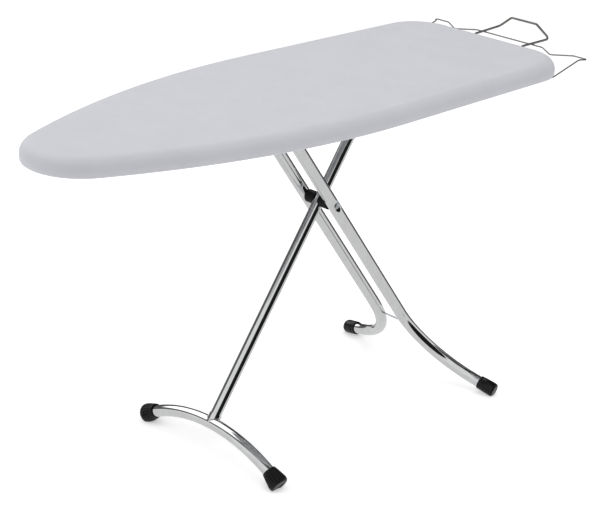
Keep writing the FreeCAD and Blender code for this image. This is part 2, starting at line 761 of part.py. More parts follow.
def make_twin_leg():
    """Two tubes with feet bent outwards, their caps, plugs, spreader, axle, glides and pivot."""
    bend = math.radians(dim("foot_bend_angle"))
    corner_at = dim("foot_bend_at") + dim("foot_bend_radius") * math.tan(bend / 2)
    last = (dim("foot_reach") - dim("twin_offset")) / math.sin(bend)
    top = -(LINK * math.cos(math.radians(dim("leg_skew"))) + dim("twin_top_end"))
    plugs = []
    glides = []
    clips = []
    rooms = []
    for label, cap_label, side in (("twin_tube_left", "rear_cap_left", 1),
                                   ("twin_tube_right", "rear_cap_right", -1)):
        outward = -TWIN_UP * math.cos(bend) + ACROSS * (side * math.sin(bend))
        corner = twin_point(corner_at, side * dim("twin_offset"))
        foot = corner + outward * last
        start = twin_point(top, side * dim("twin_offset"))
        wire = rounded_path([start, corner, foot], [dim("foot_bend_radius")])
        rod = swept(wire, dim("twin_radius"))
        rooms.append(feature(label + "_room", rod))
        tube = rod.cut(swept(wire, dim("twin_radius") - dim("tube_wall")))
        for place, radius in ((PIVOT, dim("pin_radius")), (SLIDE, dim("axle_radius"))):
            drill = Part.makeCylinder(radius + dim("running_gap"), 160.0, place - ACROSS * 80.0, ACROSS)
            tube = tube.cut(drill)
        product(label, feature(label + "_steel", tube))
        cap_radii = (mix(twin_radius=1.18), mix(twin_radius=1.24), mix(twin_radius=1.26))
        cap = cap_solid(cap_label + "_body", cap_radii,
                        mix(twin_radius=1, running_gap=1), (mix(rear_cap_grip=1), mix(rear_cap_nose=1)),
                        Placement(foot, Rotation(UP, outward)))
        product(cap_label, cut(cap_label, cap, floor_block(cap_label + "_floor")))
        plugs.append(cylinder("plug_" + label, mix(twin_radius=0.96), mix(plug_length=1),
                              start + TWIN_UP * dim("plug_depth"), TWIN_UP))
        glide_at = dim("rail_outer") - dim("rail_wall") - dim("glide_gap") - dim("glide_width") / 2
        middle = SLIDE + ACROSS * (side * glide_at)
        disc = cylinder("disc_" + label, mix(glide_radius=1), mix(glide_width=1), middle, ACROSS)
        hole = cylinder("disc_hole_" + label, mix(axle_radius=1, running_gap=1), mix(glide_width=2),
                        middle, ACROSS)
        glides.append(cut("glide_" + label, disc, hole))
        clip_at = SLIDE + ACROSS * (side * dim("clip_ring_at"))
        ring = cylinder("clip_" + label, mix(axle_radius=1.9), mix(clip_ring_width=1), clip_at, ACROSS)
        ring_hole = cylinder("clip_hole_" + label, mix(axle_radius=1, running_gap=1),
                             mix(clip_ring_width=3), clip_at, ACROSS)
        clips.append(cut("axle_clip_" + label, ring, ring_hole))
    product("twin_top_plugs", group("plugs", *plugs))
    product("glide_left", glides[0])
    product("glide_right", glides[1])
    product("axle_clips", group("clips", *clips))
    product("slide_axle", cylinder("axle", mix(axle_radius=1), mix(axle_half=2), SLIDE, ACROSS))
    make_spreader(rooms)
    make_pivot()


def make_spreader(rooms):
    """Round wire welded between the two tubes above the feet."""
    along = (dim("pivot_level") - dim("spreader_level")) / TWIN_UP.z
    turn = math.asin((along - dim("foot_bend_at")) / dim("foot_bend_radius"))
    reach = dim("twin_offset") + dim("foot_bend_radius") * (1 - math.cos(turn)) - 0.9 * dim("twin_radius")
    wire = cylinder("spreader", mix(spreader_radius=1), mix(2 * reach), twin_point(along, 0.0), ACROSS)
    product("spreader_wire", cut("spreader", wire, *rooms))


def make_pivot():
    """Pivot rivet, its washers, and saddles that fill the space between the tubes."""
    outside = dim("twin_offset") + dim("twin_radius")
    product("pivot_pin", cylinder("pin", mix(pin_radius=1), mix(twin_offset=2, twin_radius=2, rivet_head=1.5),
                                  PIVOT, ACROSS))
    split = 0.5 * (dim("single_radius") + dim("twin_offset") - dim("twin_radius"))
    inner_width = split - dim("saddle_root") - dim("saddle_gap")
    bore = mix(pin_radius=1, running_gap=1)
    washers = []
    inner_saddles = []
    outer_saddles = []
    for side in (-1, 1):
        def at(distance):
            return PIVOT + ACROSS * (side * distance)
        head_at = at(outside + dim("rivet_head") / 2)
        head = cylinder("rivet_head_%d" % side, mix(pin_radius=2.1), mix(rivet_head=1), head_at, ACROSS)
        head_hole = cylinder("rivet_hole_%d" % side, bore, mix(rivet_head=3), head_at, ACROSS)
        washers.append(cut("washer_%d" % side, head, head_hole))
        pin_room = cylinder("pin_room_%d" % side, bore, mix(twin_offset=4), PIVOT, ACROSS)
        inner = cylinder("inner_saddle_%d" % side, mix(saddle_radius=1), mix(inner_width),
                         at(dim("saddle_root") + inner_width / 2), ACROSS)
        leg_room = cylinder("leg_room_%d" % side, mix(single_radius=1), mix(single_radius=10),
                            PIVOT, SINGLE_UP)
        inner_saddles.append(cut("saddle_in_%d" % side, inner, leg_room, pin_room))
        outer = cylinder("outer_saddle_%d" % side, mix(saddle_radius=1), mix(twin_saddle_width=1),
                         at(split + dim("saddle_gap") + dim("twin_saddle_width") / 2), ACROSS)
        twin_room = cylinder("twin_room_%d" % side, mix(twin_radius=1), mix(twin_radius=10),
                             at(dim("twin_offset")), TWIN_UP)
        outer_saddles.append(cut("saddle_out_%d" % side, outer, twin_room, pin_room))
    product("pivot_washers", group("washers", *washers))
    product("leg_saddles", group("saddles_in", *inner_saddles))
    product("twin_saddles", group("saddles_out", *outer_saddles))


# ---------------------------------------------------------------- height lever

def make_lever():
    """Bent rod with a toothed catch plate, its grip, saddles and return spring."""
    side = -dim("lever_side")
    level = dim("lever_level")
    back = dim("lever_back")
    route = [Vector(dim("lever_front"), side, level), Vector(back, side, level),
             Vector(back, dim("lever_elbow_side"), level), Vector(back, dim("grip_side"), dim("grip_level"))]
    bends = [dim("lever_corner"), dim("lever_elbow")]
    product("lever_rod", feature("rod", swept(rounded_path(route, bends), dim("lever_radius"))))

    arm = (route[3] - route[2]).normalize()
    grip_middle = route[3] - arm * (dim("grip_length") / 2 - dim("grip_end"))
    grip_skin = cylinder("grip_skin", mix(grip_radius=1), mix(grip_length=1), grip_middle, arm)
    grip_bore = cylinder("grip_bore", mix(lever_radius=1, running_gap=1), mix(grip_length=1),
                         grip_middle - arm * dim("grip_end"), arm)
    product("lever_grip", cut("grip", grip_skin, grip_bore))

    body = new_body("comb_body")
    low = mix(comb_level=1)
    under = mix(lever_level=1, comb_sheet=-0.5)
    top = mix(lever_level=1, comb_sheet=0.5)
    near = mix(-1.0, lever_side=-1)
    inside = mix(comb_edge=1, comb_sheet=-1)
    corners = [(near, under), (inside, under), (inside, low), (mix(comb_edge=1), low),
               (mix(comb_edge=1), top), (near, top)]
    pad(body, polygon(body, "comb_section", "YZ_Plane", corners, dim("comb_front")), mix(comb_length=1))
    first = mix(SLIDE.x, notch_pitch=-4)
    left = (first[0] - dim("notch_width") / 2, "%s - 0.5 * sizes.notch_width" % first[1])
    right = (first[0] + dim("notch_width") / 2, "%s + 0.5 * sizes.notch_width" % first[1])
    notch_low = mix(-1.0, comb_level=1)
    notch_high = mix(-0.3, lever_level=1, comb_sheet=-0.5)
    gullet = [(left, notch_low), (right, notch_low), (right, notch_high), (left, notch_high)]
    notch = cut_through(body, polygon(body, "comb_notch", "XZ_Plane", gullet), mix(comb_edge=4), "catch plate")
    repeat(body, notch, "sizes.notch_count", mix(notch_pitch=dim("notch_count") - 1))
    doc.recompute()
    rod_room = cylinder("rod_room", mix(lever_radius=1), mix(comb_length=1.2),
                        Vector(dim("comb_front") + dim("comb_length") / 2, side, level), ALONG)
    product("catch_plate", cut("comb", body, rod_room))

    saddles = []
    for label in ("cross_bar_front", "cross_bar_middle"):
        place = BAR_PLACES[label]
        corner = Vector(place - dim("lever_block_length") / 2, side - dim("lever_block_width") / 2,
                        level - dim("lever_block_under"))
        block = box("saddle_" + label, mix(lever_block_length=1), mix(lever_block_width=1),
                    mix(BAR_UNDERSIDE - level, lever_block_under=1), corner)
        bore = cylinder("saddle_bore_" + label, mix(lever_radius=1, running_gap=1), mix(lever_block_length=3),
                        Vector(place, side, level), ALONG)
        saddles.append(cut("lever_saddle_" + label, block, bore))
    product("lever_saddles", group("lever_saddles_pair", *saddles))

    coil_length = dim("spring_pitch") * dim("spring_turns")
    coil = Part.makeHelix(dim("spring_pitch"), coil_length, dim("lever_radius") + dim("spring_gap"))
    wire = Part.Wire(coil.Edges)
    start = wire.Edges[0].valueAt(wire.Edges[0].FirstParameter)
    heading = wire.Edges[0].tangentAt(wire.Edges[0].FirstParameter)
    ring = Part.Wire([Part.Circle(start, heading, dim("spring_wire_radius")).toShape()])
    spring = feature("spring", wire.makePipeShell([ring], True, True))
    spring_at = BAR_PLACES["cross_bar_middle"] - 2 * dim("lever_block_length")
    spring.Placement = Placement(Vector(spring_at, side, level), Rotation(UP, ALONG))
    product("lever_spring", spring)


# ---------------------------------------------------------------- iron rest

def make_rest():
    """Outer wire with two notches, raised loop, clips and screws."""
    bar_x = dim("rest_bar_from_nose")
    high = dim("rest_bar_level")
    low = dim("rest_low_level")
    half = dim("rest_half")
    clip_side = dim("clip_side")
    tail = Vector(dim("rest_tail"), clip_side, low)
    knee = Vector(dim("rest_knee"), clip_side, low)
    edge = Vector(dim("rest_edge"), half - dim("rest_edge_in"), low)
    inward = Vector(bar_x - dim("rest_ear_back"), half - dim("rest_ear_in"), high - 0.5)
    corner = Vector(bar_x, half, high)
    notch = [Vector(bar_x, dim("notch_side") + dim("notch_half"), high),
             Vector(bar_x - dim("notch_reach"), dim("notch_side"), high - 2.0),
             Vector(bar_x, dim("notch_side") - dim("notch_half"), high)]
    side = [tail, knee, edge, inward, corner] + notch
    points = side + [mirrored(point) for point in reversed(side)]
    wire = rounded_path(points, REST_BENDS + list(reversed(REST_BENDS)))
    product("rest_outer_wire", feature("outer_wire", swept(wire, dim("rest_wire_radius"))))
    wire_room = feature("outer_wire_room", swept(wire, dim("rest_wire_radius") + dim("running_gap")))

    loop_low = low - 1.0
    leg = dim("loop_half")
    loop_side = [Vector(dim("rest_tail"), leg, loop_low), Vector(dim("loop_knee"), leg, loop_low),
                 Vector(dim("loop_knee") + dim("loop_rise"), leg, dim("loop_rise_level")),
                 Vector(dim("loop_from_nose"), dim("loop_end_half"), dim("loop_level")),
                 Vector(dim("loop_from_nose") - 5.0, dim("loop_top_half"), dim("loop_top_level"))]
    points = loop_side + [mirrored(point) for point in reversed(loop_side)]
    loop = rounded_path(points, LOOP_BENDS + list(reversed(LOOP_BENDS)))
    product("rest_loop", feature("loop", swept(loop, dim("rest_loop_radius"))))
    loop_room = feature("loop_room", swept(loop, dim("rest_loop_radius") + dim("running_gap")))

    clips = []
    screws = []
    for place, room, level in ((clip_side, wire_room, low), (leg, loop_room, loop_low)):
        for sign in (-1, 1):
            name = "%d_%d" % (place, sign)
            under = level - dim("clip_under")
            corner = Vector(dim("clip_front"), sign * place - dim("clip_size") / 2, under)
            block = box("clip_" + name, mix(clip_size=1), mix(clip_size=1), mix(BAR_UNDERSIDE - under),
                        corner)
            clips.append(cut("rest_clip_" + name, block, room))
            head = Vector(dim("clip_front") + dim("clip_size") / 2, sign * place,
                          under - dim("screw_height") / 2)
            screws.append(cylinder("rest_screw_" + name, mix(screw_radius=1), mix(screw_height=1),
                                   head, UP))
    product("rest_clips", group("rest_clip_group", *clips))
    product("rest_screws", group("rest_screw_group", *screws))


def build():
    make_cover()
    make_pad()
    make_elastic()
    make_panel()
    make_rim()
    make_bars()
    make_rails()
    make_rivets()
    make_hinge()
    ends, bow_wire = make_single_leg()
    make_bow_caps(ends, bow_wire)
    make_twin_leg()
    make_lever()
    make_rest()


def check():
    """Every object computed, every finished piece a valid shape."""
    doc.recompute()
    for thing in doc.Objects:
        if "Invalid" in thing.State or "Error" in thing.State:
            raise RuntimeError("%s failed: %s" % (thing.Label, thing.State))
    for piece in PRODUCTS:
        if piece.Shape.isNull() or not piece.Shape.isValid() or piece.Shape.Volume <= 0:
            raise RuntimeError("%s has no valid solid" % piece.Label)


def write():
    os.makedirs("parts", exist_ok=True)
    for piece in PRODUCTS:
        piece.Shape.exportStep("parts/%s.step" % piece.Label)


build()
check()
write()
print("%d pieces written" % len(PRODUCTS))
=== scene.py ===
import math

import bmesh
import bpy
import numpy as np
from mathutils import Matrix, Vector, noise


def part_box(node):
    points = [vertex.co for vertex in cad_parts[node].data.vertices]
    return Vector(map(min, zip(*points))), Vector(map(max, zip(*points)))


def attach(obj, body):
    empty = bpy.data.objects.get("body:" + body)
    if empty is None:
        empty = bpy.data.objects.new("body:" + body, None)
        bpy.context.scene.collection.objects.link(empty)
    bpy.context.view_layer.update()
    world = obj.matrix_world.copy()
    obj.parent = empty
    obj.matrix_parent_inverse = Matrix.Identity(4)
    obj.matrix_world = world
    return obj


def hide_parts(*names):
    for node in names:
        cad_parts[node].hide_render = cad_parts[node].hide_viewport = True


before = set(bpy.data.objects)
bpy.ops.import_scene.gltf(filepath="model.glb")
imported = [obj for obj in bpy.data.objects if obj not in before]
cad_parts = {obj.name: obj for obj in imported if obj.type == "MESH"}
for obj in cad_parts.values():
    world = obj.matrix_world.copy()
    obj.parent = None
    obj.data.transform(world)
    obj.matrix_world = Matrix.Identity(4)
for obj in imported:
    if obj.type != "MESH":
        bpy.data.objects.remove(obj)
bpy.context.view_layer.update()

# Looks of a folding ironing board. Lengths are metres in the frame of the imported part:
# x from nose to heel, y across, z up from the floor.

SHIFT = 0.67926          # nose tip to the middle of the whole object
ACROSS = Vector((0.0, 1.0, 0.0))
UP = Vector((0.0, 0.0, 1.0))

# Board: levels above the floor, and plan sizes measured from the nose tip.
TOP = 0.737
HEM = 0.703
BAR_UNDER = 0.7208
NOSE_RADIUS = 0.1075
WIDEST_AT = 0.677
WIDEST_HALF = 0.229
HEEL_HALF = 0.2185
HEEL_CORNER = 0.097
LENGTH = 1.240
EDGE_ROUND = 0.0235
SPINE_START = 0.14
SPINE_END = 1.12

# Hem: small gathers, and the channel that holds the elastic.
GATHER_PITCH = 0.0135
GATHER_SEED = 4
GATHER_DEPTH = 0.0021
CHANNEL_INSET = 0.0265
CHANNEL_LEVEL = HEM + 0.0040

# Legs: two links of one length cross at the pivot, and each tube leans a little off its link.
AXLE_LEVEL = 0.7078
PIVOT = Vector((0.716 - SHIFT, 0.0, 0.481))
LINK_ANGLE = math.radians(54.1)
TUBE_SKEW = math.radians(1.25)
LINK = (AXLE_LEVEL - PIVOT.z) / math.sin(LINK_ANGLE)
LINK_ALONG_TUBE = LINK * math.cos(TUBE_SKEW)
HINGE = Vector((PIVOT.x + LINK * math.cos(LINK_ANGLE), 0.0, AXLE_LEVEL))
SINGLE_ANGLE = LINK_ANGLE + TUBE_SKEW
SINGLE_UP = Vector((math.cos(SINGLE_ANGLE), 0.0, math.sin(SINGLE_ANGLE)))
TWIN_ANGLE = LINK_ANGLE - TUBE_SKEW
TWIN_UP = Vector((-math.cos(TWIN_ANGLE), 0.0, math.sin(TWIN_ANGLE)))
TWIN_SIDE = 0.0391
TWIN_RADIUS = 0.0125
SINGLE_RADIUS = 0.0115
SLEEVE_RADIUS = 0.011
BOW_RADIUS = 0.0125
BOW_HALF = 0.191
BOW_CENTRE_LEVEL = 0.0685
BOW_END_LEVEL = 0.0155
TUBE_WALL = 0.0012

# ---------------------------------------------------------------- materials


class Paint:
    """One node material: a Principled shader with textures feeding it."""

    def __init__(self, name, colour, metallic, roughness, **sockets):
        self.material = bpy.data.materials.new(name)
        self.material.use_nodes = True
        self.tree = self.material.node_tree
        self.shader = self.tree.nodes["Principled BSDF"]
        self.shader.inputs["Base Color"].default_value = (*colour, 1.0)
        self.shader.inputs["Metallic"].default_value = metallic
        self.shader.inputs["Roughness"].default_value = roughness
        for key, value in sockets.items():
            self.shader.inputs[key.replace("_", " ")].default_value = value
        self.place = self.tree.nodes.new("ShaderNodeTexCoord").outputs["Object"]
        self.normal = None

    def stretched(self, x, y, z):
        mapping = self.tree.nodes.new("ShaderNodeMapping")
        mapping.inputs["Scale"].default_value = (x, y, z)
        self.tree.links.new(self.place, mapping.inputs["Vector"])
        return mapping.outputs["Vector"]

    def noise(self, scale, detail=3.0, rough=0.55, where=None):
        node = self.tree.nodes.new("ShaderNodeTexNoise")
        node.inputs["Scale"].default_value = scale
        node.inputs["Detail"].default_value = detail
        node.inputs["Roughness"].default_value = rough
        self.tree.links.new(where or self.place, node.inputs["Vector"])
        return node.outputs["Fac"]

    def cells(self, scale, feature="F1"):
        node = self.tree.nodes.new("ShaderNodeTexVoronoi")
        node.feature = feature
        node.inputs["Scale"].default_value = scale
        self.tree.links.new(self.place, node.inputs["Vector"])
        return node

    def wave(self, scale, axis, distortion=0.0):
        node = self.tree.nodes.new("ShaderNodeTexWave")
        node.wave_type = "BANDS"
        node.bands_direction = axis
        node.inputs["Scale"].default_value = scale
        node.inputs["Distortion"].default_value = distortion
        self.tree.links.new(self.place, node.inputs["Vector"])
        return node.outputs["Fac"]

    def math(self, operation, first, second):
        node = self.tree.nodes.new("ShaderNodeMath")
        node.operation = operation
        for socket, value in zip(node.inputs, (first, second)):
            if isinstance(value, (int, float)):
                socket.default_value = value
            else:
                self.tree.links.new(value, socket)
        return node.outputs["Value"]

    def ramp(self, factor, stops):
        node = self.tree.nodes.new("ShaderNodeValToRGB")
        elements = node.color_ramp.elements
        while len(elements) < len(stops):
            elements.new(0.5)
        for element, (position, colour) in zip(elements, stops):
            element.position = position
            element.color = (*colour, 1.0)
        self.tree.links.new(factor, node.inputs["Fac"])
        return node.outputs["Color"]

    def range(self, factor, low, high, start=0.3, stop=0.7):
        node = self.tree.nodes.new("ShaderNodeMapRange")
        for key, value in (("From Min", start), ("From Max", stop), ("To Min", low), ("To Max", high)):
            node.inputs[key].default_value = value
        self.tree.links.new(factor, node.inputs["Value"])
        return node.outputs["Result"]

    def colour(self, factor, stops):
        self.tree.links.new(self.ramp(factor, stops), self.shader.inputs["Base Color"])

    def rough(self, factor, low, high, start=0.3, stop=0.7):
        self.tree.links.new(self.range(factor, low, high, start, stop), self.shader.inputs["Roughness"])

    def bump(self, height, depth, strength=1.0):
        node = self.tree.nodes.new("ShaderNodeBump")
        node.inputs["Distance"].default_value = depth
        node.inputs["Strength"].default_value = strength
        self.tree.links.new(height, node.inputs["Height"])
        if self.normal is not None:
            self.tree.links.new(self.normal, node.inputs["Normal"])
        self.normal = node.outputs["Normal"]
        self.tree.links.new(self.normal, self.shader.inputs["Normal"])


def shades(colour, spread):
    """Darker, plain and lighter version of a colour."""
    factors = (1 - spread, 1.0, 1 + spread)
    return [tuple(min(1.0, channel * factor) for channel in colour) for factor in factors]


def make_paints():
    """All the materials, by name."""
    paints = {}

    colour = (0.560, 0.566, 0.602)
    cloth = Paint("cover_fabric", colour, 0.0, 0.62, Sheen_Weight=0.18, Sheen_Roughness=0.45,
                  Specular_IOR_Level=0.42)
    dark, plain, light = shades(colour, 0.035)
    threads = cloth.math("MULTIPLY", cloth.wave(392.0, "X", 0.6), cloth.wave(392.0, "Y", 0.6))
    blotch = cloth.noise(14.0, 4.0)
    fine = cloth.math("MULTIPLY", threads, 0.25)
    coarse = cloth.math("MULTIPLY", blotch, 0.75)
    cloth.colour(cloth.math("ADD", fine, coarse), [(0.25, dark), (0.5, plain), (0.8, light)])
    cloth.rough(cloth.noise(60.0), 0.55, 0.70)
    cloth.bump(threads, 0.00012, 0.5)
    cloth.bump(cloth.noise(900.0, 2.0), 0.00006, 0.5)
    paints["cover_fabric"] = cloth

    colour = (0.80, 0.78, 0.71)
    foam = Paint("foam", colour, 0.0, 0.95, Sheen_Weight=0.25)
    dark, plain, light = shades(colour, 0.10)
    foam.colour(foam.noise(120.0, 5.0), [(0.3, dark), (0.5, plain), (0.7, light)])
    foam.bump(foam.cells(900.0).outputs["Distance"], 0.0004, 0.8)
    foam.bump(foam.noise(60.0), 0.0006, 0.5)
    paints["foam"] = foam

    colour = (0.78, 0.78, 0.76)
    elastic = Paint("elastic", colour, 0.0, 0.8, Sheen_Weight=0.2)
    dark, plain, light = shades(colour, 0.15)
    ribs = elastic.math("ADD", elastic.wave(180.0, "DIAGONAL", 1.0), elastic.noise(400.0))
    elastic.colour(ribs, [(0.3, dark), (0.8, plain), (1.0, light)])
    elastic.bump(ribs, 0.0002, 0.7)
    paints["elastic"] = elastic

    colour = (0.33, 0.335, 0.345)
    panel = Paint("panel_steel", colour, 0.15, 0.42, Coat_Weight=0.15, Coat_Roughness=0.25)
    dark, plain, light = shades(colour, 0.06)
    panel.colour(panel.noise(9.0, 5.0), [(0.3, dark), (0.5, plain), (0.75, light)])
    panel.rough(panel.noise(40.0), 0.34, 0.52)
    panel.bump(panel.noise(700.0, 2.0), 0.00012, 0.5)
    paints["panel_steel"] = panel

    colour = (0.50, 0.52, 0.55)
    zinc = Paint("zinc_steel", colour, 0.95, 0.34)
    dark, plain, light = shades(colour, 0.16)
    zinc.colour(zinc.cells(160.0).outputs["Color"], [(0.15, dark), (0.5, plain), (0.85, light)])
    zinc.rough(zinc.noise(220.0, 4.0), 0.26, 0.46)
    zinc.bump(zinc.noise(1500.0, 2.0), 0.00004, 0.5)
    paints["zinc_steel"] = zinc

    colour = (0.655, 0.658, 0.664)
    chrome = Paint("leg_chrome", colour, 1.0, 0.07)
    dark, plain, light = shades(colour, 0.05)
    streaks = chrome.noise(35.0, 4.0, 0.6, chrome.stretched(3.0, 1.0, 0.35))
    chrome.colour(streaks, [(0.3, dark), (0.5, plain), (0.7, light)])
    chrome.rough(streaks, 0.045, 0.13, 0.3, 0.75)
    chrome.bump(chrome.noise(90.0, 2.0), 0.00006, 0.35)
    paints["leg_chrome"] = chrome

    colour = (0.20, 0.197, 0.188)
    wire = Paint("rest_wire", colour, 1.0, 0.24)
    dark, plain, light = shades(colour, 0.18)
    wire.colour(wire.noise(75.0, 4.0), [(0.3, dark), (0.5, plain), (0.7, light)])
    wire.rough(wire.noise(300.0), 0.16, 0.34)
    wire.bump(wire.noise(900.0, 2.0), 0.00004, 0.5)
    paints["rest_wire"] = wire

    colour = (0.0075, 0.0075, 0.008)
    rubber = Paint("black_rubber", colour, 0.0, 0.36, Specular_IOR_Level=0.16)
    dark, plain, light = shades(colour, 0.35)
    rubber.colour(rubber.noise(70.0, 4.0), [(0.3, dark), (0.5, plain), (0.75, light)])
    rubber.rough(rubber.noise(130.0, 4.0), 0.22, 0.44)
    rubber.bump(rubber.noise(1100.0, 2.0), 0.00008, 0.5)
    paints["black_rubber"] = rubber

    moulded = Paint("polished_rubber", colour, 0.0, 0.16, Specular_IOR_Level=0.17)
    moulded.colour(moulded.noise(55.0, 4.0), [(0.3, dark), (0.5, plain), (0.75, light)])
    moulded.rough(moulded.noise(110.0, 4.0), 0.10, 0.24)
    moulded.bump(moulded.noise(420.0, 2.0), 0.00006, 0.5)
    paints["polished_rubber"] = moulded

    colour = (0.007, 0.007, 0.0075)
    plastic = Paint("black_plastic", colour, 0.0, 0.34, Specular_IOR_Level=0.10)
    dark, plain, light = shades(colour, 0.25)
    plastic.colour(plastic.noise(90.0), [(0.3, dark), (0.5, plain), (0.7, light)])
    plastic.rough(plastic.noise(500.0), 0.28, 0.46)
    plastic.bump(plastic.cells(1600.0).outputs["Distance"], 0.00005, 0.5)
    paints["black_plastic"] = plastic

    colour = (0.78, 0.78, 0.75)
    nylon = Paint("white_plastic", colour, 0.0, 0.38, Subsurface_Weight=0.15, Subsurface_Scale=0.002)
    dark, plain, light = shades(colour, 0.06)
    nylon.colour(nylon.noise(200.0), [(0.3, dark), (0.5, plain), (0.7, light)])
    nylon.rough(nylon.noise(400.0), 0.30, 0.48)
    nylon.bump(nylon.noise(900.0), 0.00005, 0.4)
    paints["white_plastic"] = nylon

    colour = (0.46, 0.455, 0.45)
    weld = Paint("weld_metal", colour, 0.95, 0.30)
    dark, plain, light = shades(colour, 0.25)
    weld.colour(weld.noise(260.0, 4.0), [(0.3, dark), (0.5, plain), (0.7, light)])
    weld.rough(weld.noise(700.0), 0.20, 0.45)
    weld.bump(weld.noise(700.0, 3.0), 0.0003, 0.7)
    paints["weld_metal"] = weld

    colour = (0.70, 0.71, 0.75)
    thread = Paint("seam_thread", colour, 0.0, 0.7, Sheen_Weight=0.3)
    dark, plain, light = shades(colour, 0.12)
    twist = thread.wave(700.0, "DIAGONAL", 2.0)
    thread.colour(twist, [(0.2, dark), (0.5, plain), (0.8, light)])
    thread.bump(twist, 0.0001, 0.6)
    paints["seam_thread"] = thread
    return paints


PAINTS = make_paints()
SLOTS = {
    "panel_steel": ["top_panel", "perimeter_tube", "cross_bar_nose", "cross_bar_front", "cross_bar_middle",
                    "cross_bar_hinge", "cross_bar_heel"],
    "zinc_steel": ["guide_rail_left", "guide_rail_right", "rail_end_stops", "rail_rivets", "hinge_bracket",
                   "hinge_bolt", "hinge_nut", "lever_rod", "lever_spring", "catch_plate", "slide_axle",
                   "axle_clips", "pivot_pin", "pivot_washers", "spreader_wire", "rest_screws"],
    "leg_chrome": ["single_leg_tube", "hinge_sleeve", "foot_bow", "bow_collar", "twin_tube_left",
                   "twin_tube_right"],
    "rest_wire": ["rest_outer_wire", "rest_loop"],
    "black_rubber": ["bow_cap_left", "bow_cap_right", "rear_cap_left", "rear_cap_right"],
    "black_plastic": ["leg_saddles", "twin_saddles", "lever_grip", "lever_saddles", "rest_clips",
                      "twin_top_plugs"],
    "white_plastic": ["glide_left", "glide_right"],
    "cover_fabric": ["cover"],
    "foam": ["pad"],
    "elastic": ["hem_elastic"],
}
for slot_name, nodes in SLOTS.items():
    for node in nodes:
        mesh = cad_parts[node].data
        mesh.materials.clear()
        mesh.materials.append(PAINTS[slot_name].material)

# ---------------------------------------------------------------- mesh helpers


def make_piece(name, vertices, faces, paint, body, replaces, smooth_angle):
    """Named object in one material that rides a body; edges sharper than smooth_angle stay crisp."""
    mesh = bpy.data.meshes.new(name)
    mesh.from_pydata([tuple(vertex) for vertex in vertices], [], faces)
    mesh.validate()
    mesh.polygons.foreach_set("use_smooth", [True] * len(mesh.polygons))
    mesh.set_sharp_from_angle(angle=math.radians(smooth_angle))
    mesh.materials.append(PAINTS[paint].material)
    piece = bpy.data.objects.new(name, mesh)
    bpy.context.scene.collection.objects.link(piece)
    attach(piece, body)
    if replaces:
        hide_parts(*replaces)
    return piece


def loft(rings, closed=False, start_cap=False, end_cap=False):
    """Vertices and quads of a stack of rings; closed joins the last ring to the first."""
    rings = np.asarray(rings, float)
    count, around = rings.shape[:2]
    vertices = rings.reshape(-1, 3)
    faces = []
    steps = count if closed else count - 1
    for i in range(steps):
        j = (i + 1) % count
        for k in range(around):
            m = (k + 1) % around
            faces.append((i * around + k, i * around + m, j * around + m, j * around + k))
    if start_cap:
        faces.append(tuple(reversed(range(around))))
    if end_cap:
        faces.append(tuple((count - 1) * around + k for k in range(around)))
    return vertices, faces


def rounded_line(points, radii, arc_steps):
    """Points along straight runs joined by tangent arcs."""
    points = [Vector(point) for point in points]
    line = [points[0]]
    for index, radius in enumerate(radii, start=1):
        corner = points[index]
        back = (points[index - 1] - corner).normalized()
        ahead = (points[index + 1] - corner).normalized()
        opening = back.angle(ahead)
        reach = radius / math.tan(opening / 2)
        centre = corner + (back + ahead).normalized() * (radius / math.sin(opening / 2))
        first = corner + back * reach - centre
        last = corner + ahead * reach - centre
        turn = first.angle(last)
        for step in range(arc_steps + 1):
            share = step / arc_steps
            mixed = first * math.sin((1 - share) * turn) + last * math.sin(share * turn)
            line.append(centre + mixed / math.sin(turn))
    line.append(points[-1])
    return line


def resampled(line, spacing):
    """Line with extra points so that no span is longer than spacing."""
    dense = [line[0]]
    for start, end in zip(line, line[1:]):
        pieces = max(1, int(math.ceil((end - start).length / spacing)))
        dense += [start.lerp(end, (step + 1) / pieces) for step in range(pieces)]
    return dense


def frames_along(line):
    """Two side directions at each point, carried along without twist."""
    count = len(line)
    tangents = []
    for index in range(count):
        tangents.append((line[min(index + 1, count - 1)] - line[max(index - 1, 0)]).normalized())
    side = tangents[0].cross(UP)
    if side.length < 0.1:
        side = tangents[0].cross(ACROSS)
    side.normalize()
    frames = []
    for tangent in tangents:
        side = (side - tangent * side.dot(tangent)).normalized()
        frames.append((side, tangent.cross(side)))
    return frames


def tube_rings(line, radius, sides):
    """Round rings square to a line; radius is a number or one value for each point."""
    rings = []
    for index, (point, (side, lift)) in enumerate(zip(line, frames_along(line))):
        size = radius[index] if hasattr(radius, "__len__") else radius
        rings.append([point + (side * math.cos(a) + lift * math.sin(a)) * size
                      for a in np.linspace(0, 2 * math.pi, sides, endpoint=False)])
    return rings


def hollow_tube(line, radius, sides=64):
    """Tube with a wall and softened ends: one closed loop of rings, outside, then inside."""
    rim = 0.0004
    first = (line[1] - line[0]).normalized()
    last = (line[-1] - line[-2]).normalized()
    outer_line = [line[0], line[0] + first * rim] + line[1:-1] + [line[-1] - last * rim, line[-1]]
    sizes = [radius - rim] + [radius] * (len(outer_line) - 2) + [radius - rim]
    outside = tube_rings(outer_line, sizes, sides)
    inside = tube_rings(line, radius - TUBE_WALL, sides)
    return loft(outside + list(reversed(inside)), closed=True)


# ---------------------------------------------------------------- board outline

SIDE_RUN = WIDEST_AT - NOSE_RADIUS
SIDE_GAIN = WIDEST_HALF - NOSE_RADIUS
SIDE_ARC = (SIDE_RUN ** 2 + WIDEST_HALF ** 2 - NOSE_RADIUS ** 2) / (2 * SIDE_GAIN)
TAPER = math.atan2(WIDEST_HALF - HEEL_HALF, LENGTH - WIDEST_AT)


